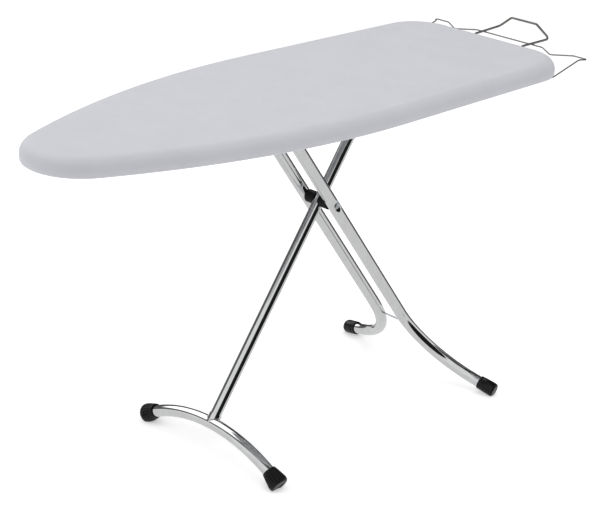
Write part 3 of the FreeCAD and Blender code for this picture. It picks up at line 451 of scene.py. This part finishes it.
def outline():
    """Points and outward normals round the board, from the nose tip along +y and back along -y."""
    nose_count, side_count, taper_count, corner_count, heel_count = 70, 250, 170, 62, 50
    nose = np.array([NOSE_RADIUS, 0.0])
    side = np.array([WIDEST_AT, WIDEST_HALF - SIDE_ARC])
    away = (nose - side) / np.linalg.norm(nose - side)
    join_angle = math.atan2(away[1], away[0])
    normal = np.array([math.sin(TAPER), math.cos(TAPER)])
    along = np.array([math.cos(TAPER), -math.sin(TAPER)])
    start = side + normal * SIDE_ARC
    inner = start - normal * HEEL_CORNER
    centre = inner + along * ((LENGTH - HEEL_CORNER - inner[0]) / along[0])
    points = []
    normals = []

    def arc(middle, radius, first, last, count):
        for share in np.arange(count) / count:
            angle = first + (last - first) * share
            direction = np.array([math.cos(angle), math.sin(angle)])
            points.append(middle + direction * radius)
            normals.append(direction)

    def line(begin, end, direction, count):
        for share in np.arange(count) / count:
            points.append(begin + (end - begin) * share)
            normals.append(direction)

    back = np.array([1.0, 0.0])
    heel_middle = np.array([LENGTH, 0.0])
    arc(nose, NOSE_RADIUS, math.pi, join_angle, nose_count)
    arc(side, SIDE_ARC, join_angle, math.pi / 2 - TAPER, side_count)
    line(start, centre + normal * HEEL_CORNER, normal, taper_count)
    arc(centre, HEEL_CORNER, math.pi / 2 - TAPER, 0.0, corner_count)
    line(centre + back * HEEL_CORNER, heel_middle, back, heel_count)
    points.append(heel_middle)
    normals.append(back)
    points = np.array(points)
    normals = np.array(normals)
    flip = np.array([1.0, -1.0])
    points = np.vstack([points, points[-2:0:-1] * flip])
    normals = np.vstack([normals, normals[-2:0:-1] * flip])
    points[:, 0] -= SHIFT
    return points, normals


EDGE, OUT = outline()
RUN = np.concatenate([[0.0], np.cumsum(np.linalg.norm(np.roll(EDGE, -1, 0) - EDGE, axis=1))])[:-1]


def ring_at(inset, level):
    """Ring round the board; inset and level are numbers or one value for each point."""
    flat = EDGE - OUT * np.broadcast_to(np.asarray(inset, float), (len(EDGE),))[:, None]
    return np.column_stack([flat, np.broadcast_to(np.asarray(level, float), (len(EDGE),))])


def spine_rings(inset, level, steps, crown=0.0):
    """Rings that shrink from an inset outline to a line along the middle of the board."""
    outer = ring_at(inset, level)
    low, high = outer[:, 0].min(), outer[:, 0].max()
    share = (outer[:, 0] - low) / (high - low)
    along = SPINE_START - SHIFT + share * (SPINE_END - SPINE_START)
    spine = np.column_stack([along, np.zeros(len(outer)), outer[:, 2]])
    rings = []
    for step in range(steps):
        scale = step / steps
        ring = spine + (outer - spine) * scale
        ring[:, 2] += crown * (1 - scale ** 2)
        rings.append(ring)
    return rings


def gather(pitch, seed):
    """Uneven ripple round the board, from 0 to 1, whole number of waves."""
    waves_in_swell = 4.4
    rng = np.random.default_rng(seed)
    total = RUN[-1] + np.linalg.norm(EDGE[0] - EDGE[-1])
    waves = round(total / pitch)
    phase = 2 * math.pi * RUN / total
    drift = sum(rng.uniform(0.4, 1.1) * np.sin(k * phase + rng.uniform(0, 6.28))
                for k in (3, 5, 8, 13, 21))
    height = 0.5 + 0.5 * np.sin(waves * phase + 1.3 * drift)
    swell = 0.72 + 0.28 * np.sin(round(waves / waves_in_swell) * phase + drift)
    return height * swell


def merged(vertices, faces, distance=1e-5):
    """Same mesh with coincident vertices joined."""
    mesh = bmesh.new()
    verts = [mesh.verts.new(vertex) for vertex in vertices]
    for face in faces:
        corners = [verts[index] for index in face]
        if len(set(corners)) == len(corners):
            mesh.faces.new(corners)
    bmesh.ops.remove_doubles(mesh, verts=mesh.verts, dist=distance)
    mesh.verts.index_update()
    result = [tuple(vertex.co) for vertex in mesh.verts]
    polygons = [tuple(vertex.index for vertex in face.verts) for face in mesh.faces]
    mesh.free()
    return result, polygons


# ---------------------------------------------------------------- fabric, foam and elastic


def soft_swell(x, y, scale, seed):
    """Smooth random height at a place on the board."""
    return noise.noise(Vector((x * scale, y * scale, seed)))


def make_cover():
    """Fitted cloth: flat top, soft edge, side, and a gathered hem with a channel for the elastic."""
    thickness = 0.0009
    clear = 0.0001
    crown = 0.0004
    top_steps = 16
    edge_steps = 14
    edge_pull = 0.00035
    fold_steps = 3
    fold_radius = 0.0022
    fold_level = HEM + 0.0040
    fold_drop = 0.0036
    fold_sway = 0.0004
    under_lift = 0.0004
    under_run = 0.021
    channel_steps = 10
    channel_radius = 0.0026
    channel_sway = 0.0005
    channel_turn = math.pi * 1.15
    lowest = HEM + 0.0003
    ripple = gather(GATHER_PITCH, GATHER_SEED)
    slow = gather(0.055, 9)

    rings = spine_rings(EDGE_ROUND + 0.004, TOP, top_steps, crown)
    for step in range(edge_steps + 1):
        angle = math.pi / 2 * step / edge_steps
        inset = EDGE_ROUND * (1 - math.sin(angle)) + clear
        level = TOP - EDGE_ROUND * (1 - math.cos(angle))
        pull = edge_pull * math.sin(angle) ** 3 * (slow - 0.5)
        rings.append(ring_at(inset + pull, level))
    for step in range(1, fold_steps + 1):
        angle = math.pi / 2 * step / fold_steps
        inset = clear + fold_radius * (1 - math.cos(angle)) + fold_sway * (slow - 0.5)
        rings.append(ring_at(inset, fold_level - fold_drop * math.sin(angle)))
    for inset in (0.0050, 0.0085, 0.0120, 0.0155, 0.0185, 0.0210, 0.0232):
        share = (inset - fold_radius) / under_run
        rings.append(ring_at(inset, HEM + under_lift + GATHER_DEPTH * share * ripple))
    for step in range(channel_steps + 1):
        angle = -math.pi / 2 + channel_turn * step / channel_steps
        size = channel_radius + channel_sway * (ripple - 0.5)
        inset = CHANNEL_INSET + size * math.cos(angle)
        level = CHANNEL_LEVEL + 0.3 * GATHER_DEPTH * (ripple - 0.5) + size * math.sin(angle)
        rings.append(ring_at(inset, np.maximum(level, lowest)))
    for inset, lift in ((0.0240, 0.0020), (0.0222, 0.0016)):
        rings.append(ring_at(inset, CHANNEL_LEVEL + lift + channel_sway * ripple))
    rings = np.array(rings)
    for ring in rings[:top_steps + 2]:
        for point in ring:
            broad = 0.00035 * soft_swell(point[0], point[1], 5.0, 0.3)
            fine = 0.00012 * soft_swell(point[0], point[1], 22.0, 2.1)
            point[2] += broad + fine
    vertices, faces = merged(*loft(rings))
    cover = make_piece("cover_cloth", vertices, faces, "cover_fabric", "board",
                       ["cover"], 75.0)
    shell = cover.modifiers.new("thickness", "SOLIDIFY")
    shell.thickness = thickness
    shell.offset = 1.0
    shell.use_rim = True
    bpy.context.view_layer.objects.active = cover
    cover.select_set(True)
    bpy.ops.object.modifier_apply(modifier=shell.name)
    cover.select_set(False)
    return cover


def make_pad():
    """Foam layer with a lip that hangs inside the cover."""
    outside, thick = 0.00145, 0.0069
    top, under, lip = TOP - 0.00125, 0.72885, 0.7061
    middle_steps = 10
    outer_steps = 10
    inner_steps = 8
    inner_round = 0.012
    lip_round = 0.0012
    lip_lift = 0.0004
    rings = spine_rings(EDGE_ROUND, top - 0.00005, middle_steps)
    radius = EDGE_ROUND - outside
    for step in range(outer_steps + 1):
        angle = math.pi / 2 * step / outer_steps
        inset = outside + radius * (1 - math.sin(angle))
        rings.append(ring_at(inset, top - radius * (1 - math.cos(angle))))
    wobble = 0.0005 * (gather(0.05, 21) - 0.5)
    rings.append(ring_at(outside, lip + lip_round + wobble))
    rings.append(ring_at(outside + lip_round, lip + lip_lift + wobble))
    rings.append(ring_at(outside + thick - lip_round, lip + lip_lift + wobble))
    rings.append(ring_at(outside + thick, lip + lip_round + wobble))
    for step in range(inner_steps + 1):
        angle = math.pi / 2 * step / inner_steps
        inset = outside + thick + inner_round * (1 - math.cos(angle))
        rings.append(ring_at(inset, under - inner_round * (1 - math.sin(angle))))
    rings += list(reversed(spine_rings(EDGE_ROUND, under, middle_steps)))
    vertices, faces = merged(*loft(rings))
    pad = make_piece("foam_pad", vertices, faces, "foam", "board", ["pad"], 60.0)


def make_elastic():
    """Braided elastic in the hem, slightly wavy and pulled tight."""
    sides = 12
    wide, high = 0.0016, 0.0013
    braid_pitch = 0.0042
    braid_depth = 0.07
    ripple = gather(GATHER_PITCH, GATHER_SEED)
    level = CHANNEL_LEVEL + 0.0004 * (ripple - 0.5)
    rings = []
    for k in range(sides):
        angle = 2 * math.pi * k / sides
        braid = 1.0 + braid_depth * np.sin(RUN / braid_pitch * 2 * math.pi + 3 * angle)
        inset = CHANNEL_INSET + wide * math.cos(angle) * braid
        rings.append(ring_at(inset, level + high * math.sin(angle) * braid))
    vertices, faces = loft(rings, closed=True)
    make_piece("hem_elastic_cord", vertices, faces, "elastic", "board",
               ["hem_elastic"], 80.0)


def make_stitching():
    """Row of stitches along the hem channel."""
    pitch = 0.0052
    length = 0.0036
    thread_radius = 0.00038
    sides = 5
    sections = ((-0.5, 0.3), (-0.3, 1.0), (0.3, 1.0), (0.5, 0.3))
    vertices = []
    faces = []
    line = ring_at(0.0212, HEM + 0.0003)
    ripple = gather(GATHER_PITCH, GATHER_SEED)
    for number in range(int(RUN[-1] / pitch)):
        index = int(np.searchsorted(RUN, number * pitch)) % len(EDGE)
        tangent = EDGE[(index + 1) % len(EDGE)] - EDGE[index - 1]
        tangent = Vector((*(tangent / np.linalg.norm(tangent)), 0.0))
        side = tangent.cross(UP)
        middle = Vector(line[index]) + UP * (GATHER_DEPTH * 0.9 * ripple[index] - 0.0001)
        base = len(vertices)
        for share, size in sections:
            for k in range(sides):
                angle = 2 * math.pi * k / sides
                vertices.append(middle + tangent * (length * share)
                                + (side * math.cos(angle) + UP * math.sin(angle))
                                * (thread_radius * size))
        for i in range(len(sections) - 1):
            near = base + i * sides
            far = near + sides
            for k in range(sides):
                m = (k + 1) % sides
                faces.append((near + k, near + m, far + m, far + k))
        last = base + (len(sections) - 1) * sides
        faces.append(tuple(base + k for k in reversed(range(sides))))
        faces.append(tuple(last + k for k in range(sides)))
    make_piece("hem_stitching", vertices, faces, "seam_thread", "board", (), 80.0)


cover = make_cover()
make_pad()
make_elastic()
make_stitching()

# ---------------------------------------------------------------- chromed legs


def dimple(vertices, middle, outward, radius, depth, reach):
    """Presses a round flat-bottomed hollow into the skin that faces outward."""
    bottom_share = 0.62
    flat = reach - depth
    result = []
    for vertex in vertices:
        vertex = Vector(vertex)
        off = vertex - middle
        height = off.dot(outward)
        across = (off - outward * height).length
        if height > 0 and across < radius:
            slope = (across - bottom_share * radius) / ((1 - bottom_share) * radius)
            edge = 1.0 - min(1.0, max(0.0, slope))
            edge = edge * edge * (3 - 2 * edge)
            if height > flat:
                vertex = vertex - outward * ((height - flat) * edge)
        result.append(vertex)
    return result


def make_twin_tubes():
    """Tubes of the twin leg, side by side at the pivot and bent apart below; returns their feet."""
    bend = math.radians(72.0)
    bend_radius = 0.195
    bend_start = 0.3876
    foot_half = 0.2119
    past_axle = 0.009
    dimple_radius = 0.0125
    dimple_depth = 0.0030
    corner_at = bend_start + bend_radius * math.tan(bend / 2)
    last = (foot_half - TWIN_SIDE) / math.sin(bend)
    feet = []
    for label, side in (("left", 1), ("right", -1)):
        outward = -TWIN_UP * math.cos(bend) + ACROSS * (side * math.sin(bend))
        shift = ACROSS * (side * TWIN_SIDE)
        start = PIVOT + TWIN_UP * (LINK_ALONG_TUBE + past_axle) + shift
        corner = PIVOT - TWIN_UP * corner_at + shift
        foot = corner + outward * last
        line = resampled(rounded_line([start, corner, foot], [bend_radius], 90), 0.0055)
        vertices, faces = hollow_tube(line, TWIN_RADIUS)
        vertices = dimple(vertices, PIVOT + shift, ACROSS * side, dimple_radius, dimple_depth,
                          TWIN_RADIUS)
        make_piece("twin_tube_chrome_" + label, vertices, faces, "leg_chrome",
                   "twin_leg", ["twin_tube_" + label], 50.0)
        feet.append((label, foot, outward))
    return feet


def make_single_tube():
    """Straight tube from the foot bow to the hinge sleeve; returns where it meets the bow's axis."""
    into_bow = 0.0105
    down = (BOW_CENTRE_LEVEL - PIVOT.z) / SINGLE_UP.z
    up = LINK_ALONG_TUBE - 0.35 * SLEEVE_RADIUS
    line = resampled([PIVOT + SINGLE_UP * (down + into_bow), PIVOT + SINGLE_UP * up], 0.006)
    vertices, faces = hollow_tube(line, SINGLE_RADIUS)
    make_piece("single_tube_chrome", vertices, faces, "leg_chrome", "single_leg",
               ["single_leg_tube"], 50.0)
    return PIVOT + SINGLE_UP * down


def make_bow(centre):
    """Arched foot bow of the single leg, highest in the middle; returns its two ends."""
    rise = centre.z - BOW_END_LEVEL
    radius = (BOW_HALF ** 2 + rise ** 2) / (2 * rise)
    sweep = math.asin(BOW_HALF / radius)
    line = [Vector((centre.x, radius * math.sin(a), centre.z - radius * (1 - math.cos(a))))
            for a in np.linspace(-sweep, sweep, 110)]
    vertices, faces = hollow_tube(line, BOW_RADIUS)
    make_piece("foot_bow_chrome", vertices, faces, "leg_chrome", "single_leg",
               ["foot_bow"], 50.0)
    ends = []
    for label, sign in (("right", -1), ("left", 1)):
        outward = Vector((0.0, sign * math.cos(sweep), -math.sin(sweep)))
        ends.append((label, Vector((centre.x, sign * BOW_HALF, BOW_END_LEVEL)), outward))
    return ends


def turned_cap(name, node, body, end, outward, profile, flutes, depth, paint):
    """Moulded rubber cap, turned about its axis and cut flat by the floor.

    The profile holds distance, radius and share of the flutes' depth."""
    side = outward.cross(UP).normalized()
    lift = side.cross(outward)
    around = 176
    rings = []
    for at, radius, fluted in profile:
        ring = []
        for k in range(around):
            angle = 2 * math.pi * k / around
            groove = (0.5 + 0.5 * math.cos(flutes * angle)) ** 2 if flutes else 0.0
            size = radius - depth * fluted * groove
            point = end + outward * at + (side * math.cos(angle) + lift * math.sin(angle)) * size
            point.z = max(point.z, 0.0)
            ring.append(point)
        rings.append(ring)
    vertices, faces = loft(rings, end_cap=True)
    make_piece(name, vertices, faces, paint, body, [node], 48.0)


def make_caps(bow_ends, feet):
    """Fluted caps on the foot bow and plain ones with a collar on the twin tubes."""
    bow_profile = [(0.0008, 0.0122, 0), (-0.0270, 0.01262, 0), (-0.0280, 0.0134, 0), (-0.0280, 0.0144, 0),
                   (-0.0272, 0.0149, 0), (-0.0252, 0.0151, 0), (-0.0240, 0.0155, 0.3), (-0.0190, 0.0167, 1),
                   (-0.0126, 0.0180, 1), (-0.0060, 0.0193, 1), (-0.0009, 0.0202, 1), (0.0030, 0.0203, 0.7),
                   (0.0054, 0.0200, 0.3), (0.0072, 0.0188, 0), (0.0085, 0.0172, 0), (0.0090, 0.0150, 0),
                   (0.0090, 0.0100, 0), (0.0084, 0.0092, 0), (0.0084, 0.0040, 0)]
    for label, end, outward in bow_ends:
        turned_cap("bow_cap_rubber_" + label, "bow_cap_" + label, "single_leg", end, outward,
                   bow_profile, 20, 0.0020, "black_rubber")
    rear_profile = [(0.0008, 0.0122, 0), (-0.0290, 0.01262, 0), (-0.0300, 0.0134, 0), (-0.0300, 0.0144, 0),
                    (-0.0292, 0.0149, 0), (-0.0270, 0.0150, 0), (-0.0262, 0.0147, 0), (-0.0240, 0.0147, 0),
                    (-0.0232, 0.0152, 0), (-0.0130, 0.0155, 0), (-0.0010, 0.01575, 0), (0.0030, 0.01575, 0),
                    (0.0058, 0.0153, 0), (0.0078, 0.0144, 0), (0.0092, 0.0130, 0), (0.0099, 0.0110, 0),
                    (0.0100, 0.0080, 0), (0.0097, 0.0072, 0), (0.0097, 0.0030, 0)]
    for label, end, outward in feet:
        turned_cap("rear_cap_rubber_" + label, "rear_cap_" + label, "twin_leg", end, outward,
                   rear_profile, 0, 0.0, "polished_rubber")


feet = make_twin_tubes()
bow_centre = make_single_tube()
bow_ends = make_bow(bow_centre)
make_caps(bow_ends, feet)

# ---------------------------------------------------------------- welds


def bead(name, line, size, body, seed):
    """Lumpy weld bead along a line, thinner at its two ends."""
    rng = np.random.default_rng(seed)
    line = resampled(line, size * 0.45)
    lumps = [size * (1.0 + 0.16 * math.sin(index * 1.9) + rng.uniform(-0.10, 0.10))
             for index in range(len(line))]
    lumps[0] = lumps[-1] = size * 0.4
    vertices, faces = loft(tube_rings(line, lumps, 12), start_cap=True, end_cap=True)
    make_piece(name, vertices, faces, "weld_metal", body, (), 80.0)


def saddle_curve(centre, axis, radius, host_axis, host_radius, steps=56):
    """Where a round tube meets a round host tube, on the side the axis points to."""
    side = axis.cross(host_axis).normalized()
    along = side.cross(axis).normalized()
    points = []
    for angle in np.linspace(0, 2 * math.pi, steps, endpoint=False):
        offset = side * (radius * math.cos(angle)) + along * (radius * math.sin(angle))
        across = offset - host_axis * offset.dot(host_axis)
        lift = axis - host_axis * axis.dot(host_axis)
        a = lift.dot(lift)
        b = 2 * across.dot(lift)
        c = across.dot(across) - host_radius ** 2
        points.append(centre + offset + axis * ((-b + math.sqrt(max(b * b - 4 * a * c, 0.0))) / (2 * a)))
    return points


foot_curve = saddle_curve(bow_centre, SINGLE_UP, SINGLE_RADIUS + 0.0004, ACROSS, BOW_RADIUS)
bead("weld_leg_to_foot", foot_curve + foot_curve[:1], 0.0019, "single_leg", 1)
sleeve_curve = saddle_curve(HINGE, -SINGLE_UP, SINGLE_RADIUS * 0.92, ACROSS, SLEEVE_RADIUS)
bead("weld_leg_to_sleeve", sleeve_curve + sleeve_curve[:1], 0.0016, "single_leg", 2)


def make_board_welds():
    """One bead under each end of each cross bar."""
    level = BAR_UNDER - 0.0002
    bars = ("cross_bar_nose", "cross_bar_front", "cross_bar_middle", "cross_bar_hinge",
            "cross_bar_heel")
    for number, node in enumerate(bars):
        low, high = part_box(node)
        for label, side in (("right", -1), ("left", 1)):
            y = side * (high.y - 0.0012)
            line = [Vector((low.x + 0.001, y, level)), Vector((high.x - 0.001, y, level))]
            bead("weld_%s_%s" % (node, label), line, 0.0016, "board",
                 10 + 2 * number + side)


make_board_welds()

# ---------------------------------------------------------------- small parts


def turned(middle, axis, profile, around, ribs=0, rib_depth=0.0):
    """Vertices and faces of a turned part.

    The profile holds distance along the axis, radius and share of the ribs' depth."""
    axis = axis.normalized()
    side = axis.cross(UP)
    if side.length < 0.1:
        side = axis.cross(ACROSS)
    side.normalize()
    lift = side.cross(axis)
    rings = []
    for at, radius, ribbed in profile:
        ring = []
        for k in range(around):
            angle = 2 * math.pi * k / around
            size = radius - rib_depth * ribbed * (0.5 + 0.5 * math.cos(ribs * angle))
            across = side * math.cos(angle) + lift * math.sin(angle)
            ring.append(middle + axis * at + across * size)
        rings.append(ring)
    return loft(rings, start_cap=True, end_cap=True)


def make_rivet_heads():
    """Domed rivet heads sunk in the dimples of the twin tubes."""
    bottom = TWIN_SIDE + TWIN_RADIUS - 0.0031
    profile = [(0.0, 0.0074, 0), (0.0006, 0.0075, 0), (0.0012, 0.0070, 0), (0.0018, 0.0058, 0),
               (0.0023, 0.0041, 0), (0.0025, 0.0026, 0), (0.0022, 0.0018, 0), (0.0019, 0.0010, 0)]
    vertices = []
    faces = []
    for side in (-1, 1):
        more, polygons = turned(PIVOT + ACROSS * (side * bottom), ACROSS * side, profile, 40)
        base = len(vertices)
        vertices += list(more)
        faces += [tuple(index + base for index in polygon) for polygon in polygons]
    make_piece("pivot_rivet_heads", vertices, faces, "zinc_steel", "twin_leg",
               ["pivot_washers", "pivot_pin"], 45.0)


def make_pin():
    """Shank of the pivot rivet between the tubes."""
    half, radius, chamfer, round_off = 0.0500, 0.0035, 0.0005, 0.0001
    profile = [(-half, radius - round_off, 0), (-half + chamfer, radius, 0),
               (half - chamfer, radius, 0), (half, radius - round_off, 0)]
    vertices, faces = turned(PIVOT, ACROSS, profile, 40)
    make_piece("pivot_shank", vertices, faces, "zinc_steel", "twin_leg", (), 45.0)


def make_grip():
    """Ribbed grip with a flange, pushed on the lever's arm."""
    arm_start = Vector((0.751 - SHIFT, 0.016, 0.717))
    arm_end = Vector((0.751 - SHIFT, 0.186, 0.684))
    pushed_on = 0.051
    rib_count = 9
    rib_start = 0.0060
    rib_pitch = 0.0046
    arm = (arm_end - arm_start).normalized()
    profile = [(0.0, 0.0030, 0), (0.0, 0.0056, 0), (0.0006, 0.0062, 0), (0.0020, 0.0062, 0),
               (0.0026, 0.0056, 0), (0.0040, 0.0050, 0)]
    for index in range(rib_count):
        at = rib_start + index * rib_pitch
        profile += [(at, 0.0052, 1), (at + 0.0008, 0.0059, 1), (at + 0.0024, 0.0060, 1),
                    (at + 0.0032, 0.0052, 1)]
    profile += [(0.0480, 0.0058, 0), (0.0510, 0.0060, 0), (0.0530, 0.0054, 0),
                (0.0539, 0.0040, 0), (0.0540, 0.0015, 0)]
    vertices, faces = turned(arm_end - arm * pushed_on, arm, profile, 56, ribs=8, rib_depth=0.0004)
    make_piece("lever_grip_ribbed", vertices, faces, "black_plastic",
               "height_lever", ["lever_grip"], 50.0)


make_rivet_heads()
make_pin()
make_grip()

# ---------------------------------------------------------------- stage, light and camera


def make_stage():
    """Round white floor that glows a little, so that it meets the white room without an edge."""
    radius, corners, level = 11.0, 96, -0.0002
    glow = 0.44
    floor_mesh = bpy.data.meshes.new("studio_floor")
    ring = [(radius * math.cos(a), radius * math.sin(a), level)
            for a in np.linspace(0, 2 * math.pi, corners, endpoint=False)]
    floor_mesh.from_pydata(ring, [], [tuple(range(corners))])
    floor = bpy.data.objects.new("studio_floor", floor_mesh)
    bpy.context.scene.collection.objects.link(floor)
    paint = Paint("floor_white", (0.93, 0.93, 0.935), 0.0, 0.9, Specular_IOR_Level=0.1)
    paint.shader.inputs["Emission Color"].default_value = (1.0, 1.0, 1.0, 1.0)
    paint.shader.inputs["Emission Strength"].default_value = glow
    floor_mesh.materials.append(paint.material)
    floor.visible_glossy = False


def make_world():
    """Room that is plain white to the camera and gives matt surfaces half of that light.

    Polished metal mirrors a bright box, a dark ring round it, a dark far side and two dark cards."""
    soft_light = 0.50
    wall, sky_gain, box_gain = 0.82, 0.14, 1.0
    box_side = (0.05, 0.64, 0.77)
    box_edge = (32.0, 34.0)
    ring_inner, ring_outer = (33.0, 35.0), (49.0, 52.0)
    ring_depth = 0.86
    far_side, far_edge = (0.90, 0.42, 0.0), (42.0, 45.0)
    far_low, far_high, far_depth = -0.26, 0.62, 0.86
    front_card, front_edge, front_depth = (0.0, -0.99, 0.05), (38.0, 41.0), 0.985
    high_card, high_edge, high_depth = (0.44, -0.28, 0.86), (27.0, 30.0), 0.90
    world = bpy.data.worlds.new("studio")
    bpy.context.scene.world = world
    world.use_nodes = True
    tree = world.node_tree
    tree.nodes.clear()
    place = tree.nodes.new("ShaderNodeTexCoord").outputs["Generated"]
    split = tree.nodes.new("ShaderNodeSeparateXYZ")
    tree.links.new(place, split.inputs["Vector"])

    def maths(operation, first, second):
        node = tree.nodes.new("ShaderNodeMath")
        node.operation = operation
        for socket, value in zip(node.inputs, (first, second)):
            if isinstance(value, (int, float)):
                socket.default_value = value
            else:
                tree.links.new(value, socket)
        return node.outputs["Value"]

    def towards(direction, edge):
        """1 near a direction; the edge holds the degrees where it starts to fade and reaches 0."""
        inner, outer = (math.cos(math.radians(angle)) for angle in edge)
        node = tree.nodes.new("ShaderNodeVectorMath")
        node.operation = "DOT_PRODUCT"
        node.inputs[1].default_value = Vector(direction).normalized()
        tree.links.new(place, node.inputs[0])
        fade = tree.nodes.new("ShaderNodeMapRange")
        for key, value in (("From Min", outer), ("From Max", inner), ("To Min", 0.0), ("To Max", 1.0)):
            fade.inputs[key].default_value = value
        tree.links.new(node.outputs["Value"], fade.inputs["Value"])
        return fade.outputs["Result"]

    def band(low, high, soft):
        """1 where the height of the direction is between two sines."""
        rise = tree.nodes.new("ShaderNodeMapRange")
        fall = tree.nodes.new("ShaderNodeMapRange")
        for node, start, stop in ((rise, low - soft, low + soft), (fall, high + soft, high - soft)):
            node.inputs["From Min"].default_value = start
            node.inputs["From Max"].default_value = stop
            tree.links.new(split.outputs["Z"], node.inputs["Value"])
        return maths("MULTIPLY", rise.outputs["Result"], fall.outputs["Result"])

    def darken(value, mask, depth):
        """The value, less a share of it where the mask is 1."""
        return maths("MULTIPLY", value, maths("SUBTRACT", 1.0, maths("MULTIPLY", mask, depth)))

    in_box = towards(box_side, ring_inner)
    room = maths("ADD", wall, maths("MULTIPLY", band(0.0, 1.2, 0.08), sky_gain))
    room = maths("ADD", room, maths("MULTIPLY", towards(box_side, box_edge), box_gain))
    room = darken(room, maths("SUBTRACT", towards(box_side, ring_outer), in_box), ring_depth)
    beside_box = maths("MULTIPLY", towards(far_side, far_edge), maths("SUBTRACT", 1.0, in_box))
    far = maths("MULTIPLY", band(far_low, far_high, 0.02), beside_box)
    room = darken(room, far, far_depth)
    room = darken(room, towards(front_card, front_edge), front_depth)
    room = darken(room, towards(high_card, high_edge), high_depth)

    seen = tree.nodes.new("ShaderNodeBackground")
    seen.inputs["Color"].default_value = (1.0, 1.0, 1.0, 1.0)
    lit = tree.nodes.new("ShaderNodeBackground")
    lit.inputs["Color"].default_value = (1.0, 1.0, 1.0, 1.0)
    lit.inputs["Strength"].default_value = soft_light
    mirrored = tree.nodes.new("ShaderNodeBackground")
    mirrored.inputs["Color"].default_value = (1.0, 1.0, 1.0, 1.0)
    tree.links.new(room, mirrored.inputs["Strength"])
    path = tree.nodes.new("ShaderNodeLightPath")
    first = tree.nodes.new("ShaderNodeMixShader")
    tree.links.new(path.outputs["Is Glossy Ray"], first.inputs[0])
    tree.links.new(lit.outputs["Background"], first.inputs[1])
    tree.links.new(mirrored.outputs["Background"], first.inputs[2])
    second = tree.nodes.new("ShaderNodeMixShader")
    tree.links.new(path.outputs["Is Camera Ray"], second.inputs[0])
    tree.links.new(first.outputs["Shader"], second.inputs[1])
    tree.links.new(seen.outputs["Background"], second.inputs[2])
    output = tree.nodes.new("ShaderNodeOutputWorld")
    tree.links.new(second.outputs["Shader"], output.inputs["Surface"])


def make_light(name, place, target, size, power):
    """Rectangular light aimed at a target; polished metal doesn't mirror it."""
    lamp = bpy.data.lights.new(name, "AREA")
    lamp.shape = "RECTANGLE"
    lamp.size, lamp.size_y = size
    lamp.energy = power
    light = bpy.data.objects.new(name, lamp)
    light.location = place
    light.rotation_mode = "QUATERNION"
    light.rotation_quaternion = (Vector(target) - Vector(place)).to_track_quat("-Z", "Y")
    light.visible_glossy = False
    bpy.context.scene.collection.objects.link(light)


def make_camera():
    """Camera beyond the nose and on the -y side, turned by yaw, pitch and roll in radians."""
    yaw, pitch, roll = 0.763827, 0.391632, 0.043632
    place = (-2.3152, -2.2052, 1.6904)
    sensor_width, focal_length = 36.0, 101.71
    ahead = Vector((math.cos(yaw) * math.cos(pitch), math.sin(yaw) * math.cos(pitch), -math.sin(pitch)))
    right = Vector((math.sin(yaw), -math.cos(yaw), 0.0))
    upward = right.cross(ahead)
    turned_right = right * math.cos(roll) + upward * math.sin(roll)
    turned_up = upward * math.cos(roll) - right * math.sin(roll)
    data = bpy.data.cameras.new("camera")
    data.sensor_width = sensor_width
    data.lens = focal_length
    data.clip_start, data.clip_end = 0.05, 60.0
    camera = bpy.data.objects.new("camera", data)
    rows = Matrix((turned_right, turned_up, -ahead)).transposed()
    camera.matrix_world = Matrix.Translation(place) @ rows.to_4x4()
    bpy.context.scene.collection.objects.link(camera)
    bpy.context.scene.camera = camera


make_stage()
make_world()
make_light("top_softbox", (0.1, -0.3, 3.4), (0.1, 0.0, 0.0), (3.6, 3.2), 60.0)
make_light("left_softbox", (-2.6, 2.4, 2.0), (0.0, 0.0, 0.4), (1.4, 2.2), 26.0)
make_camera()
bpy.context.scene.view_settings.view_transform = "Standard"
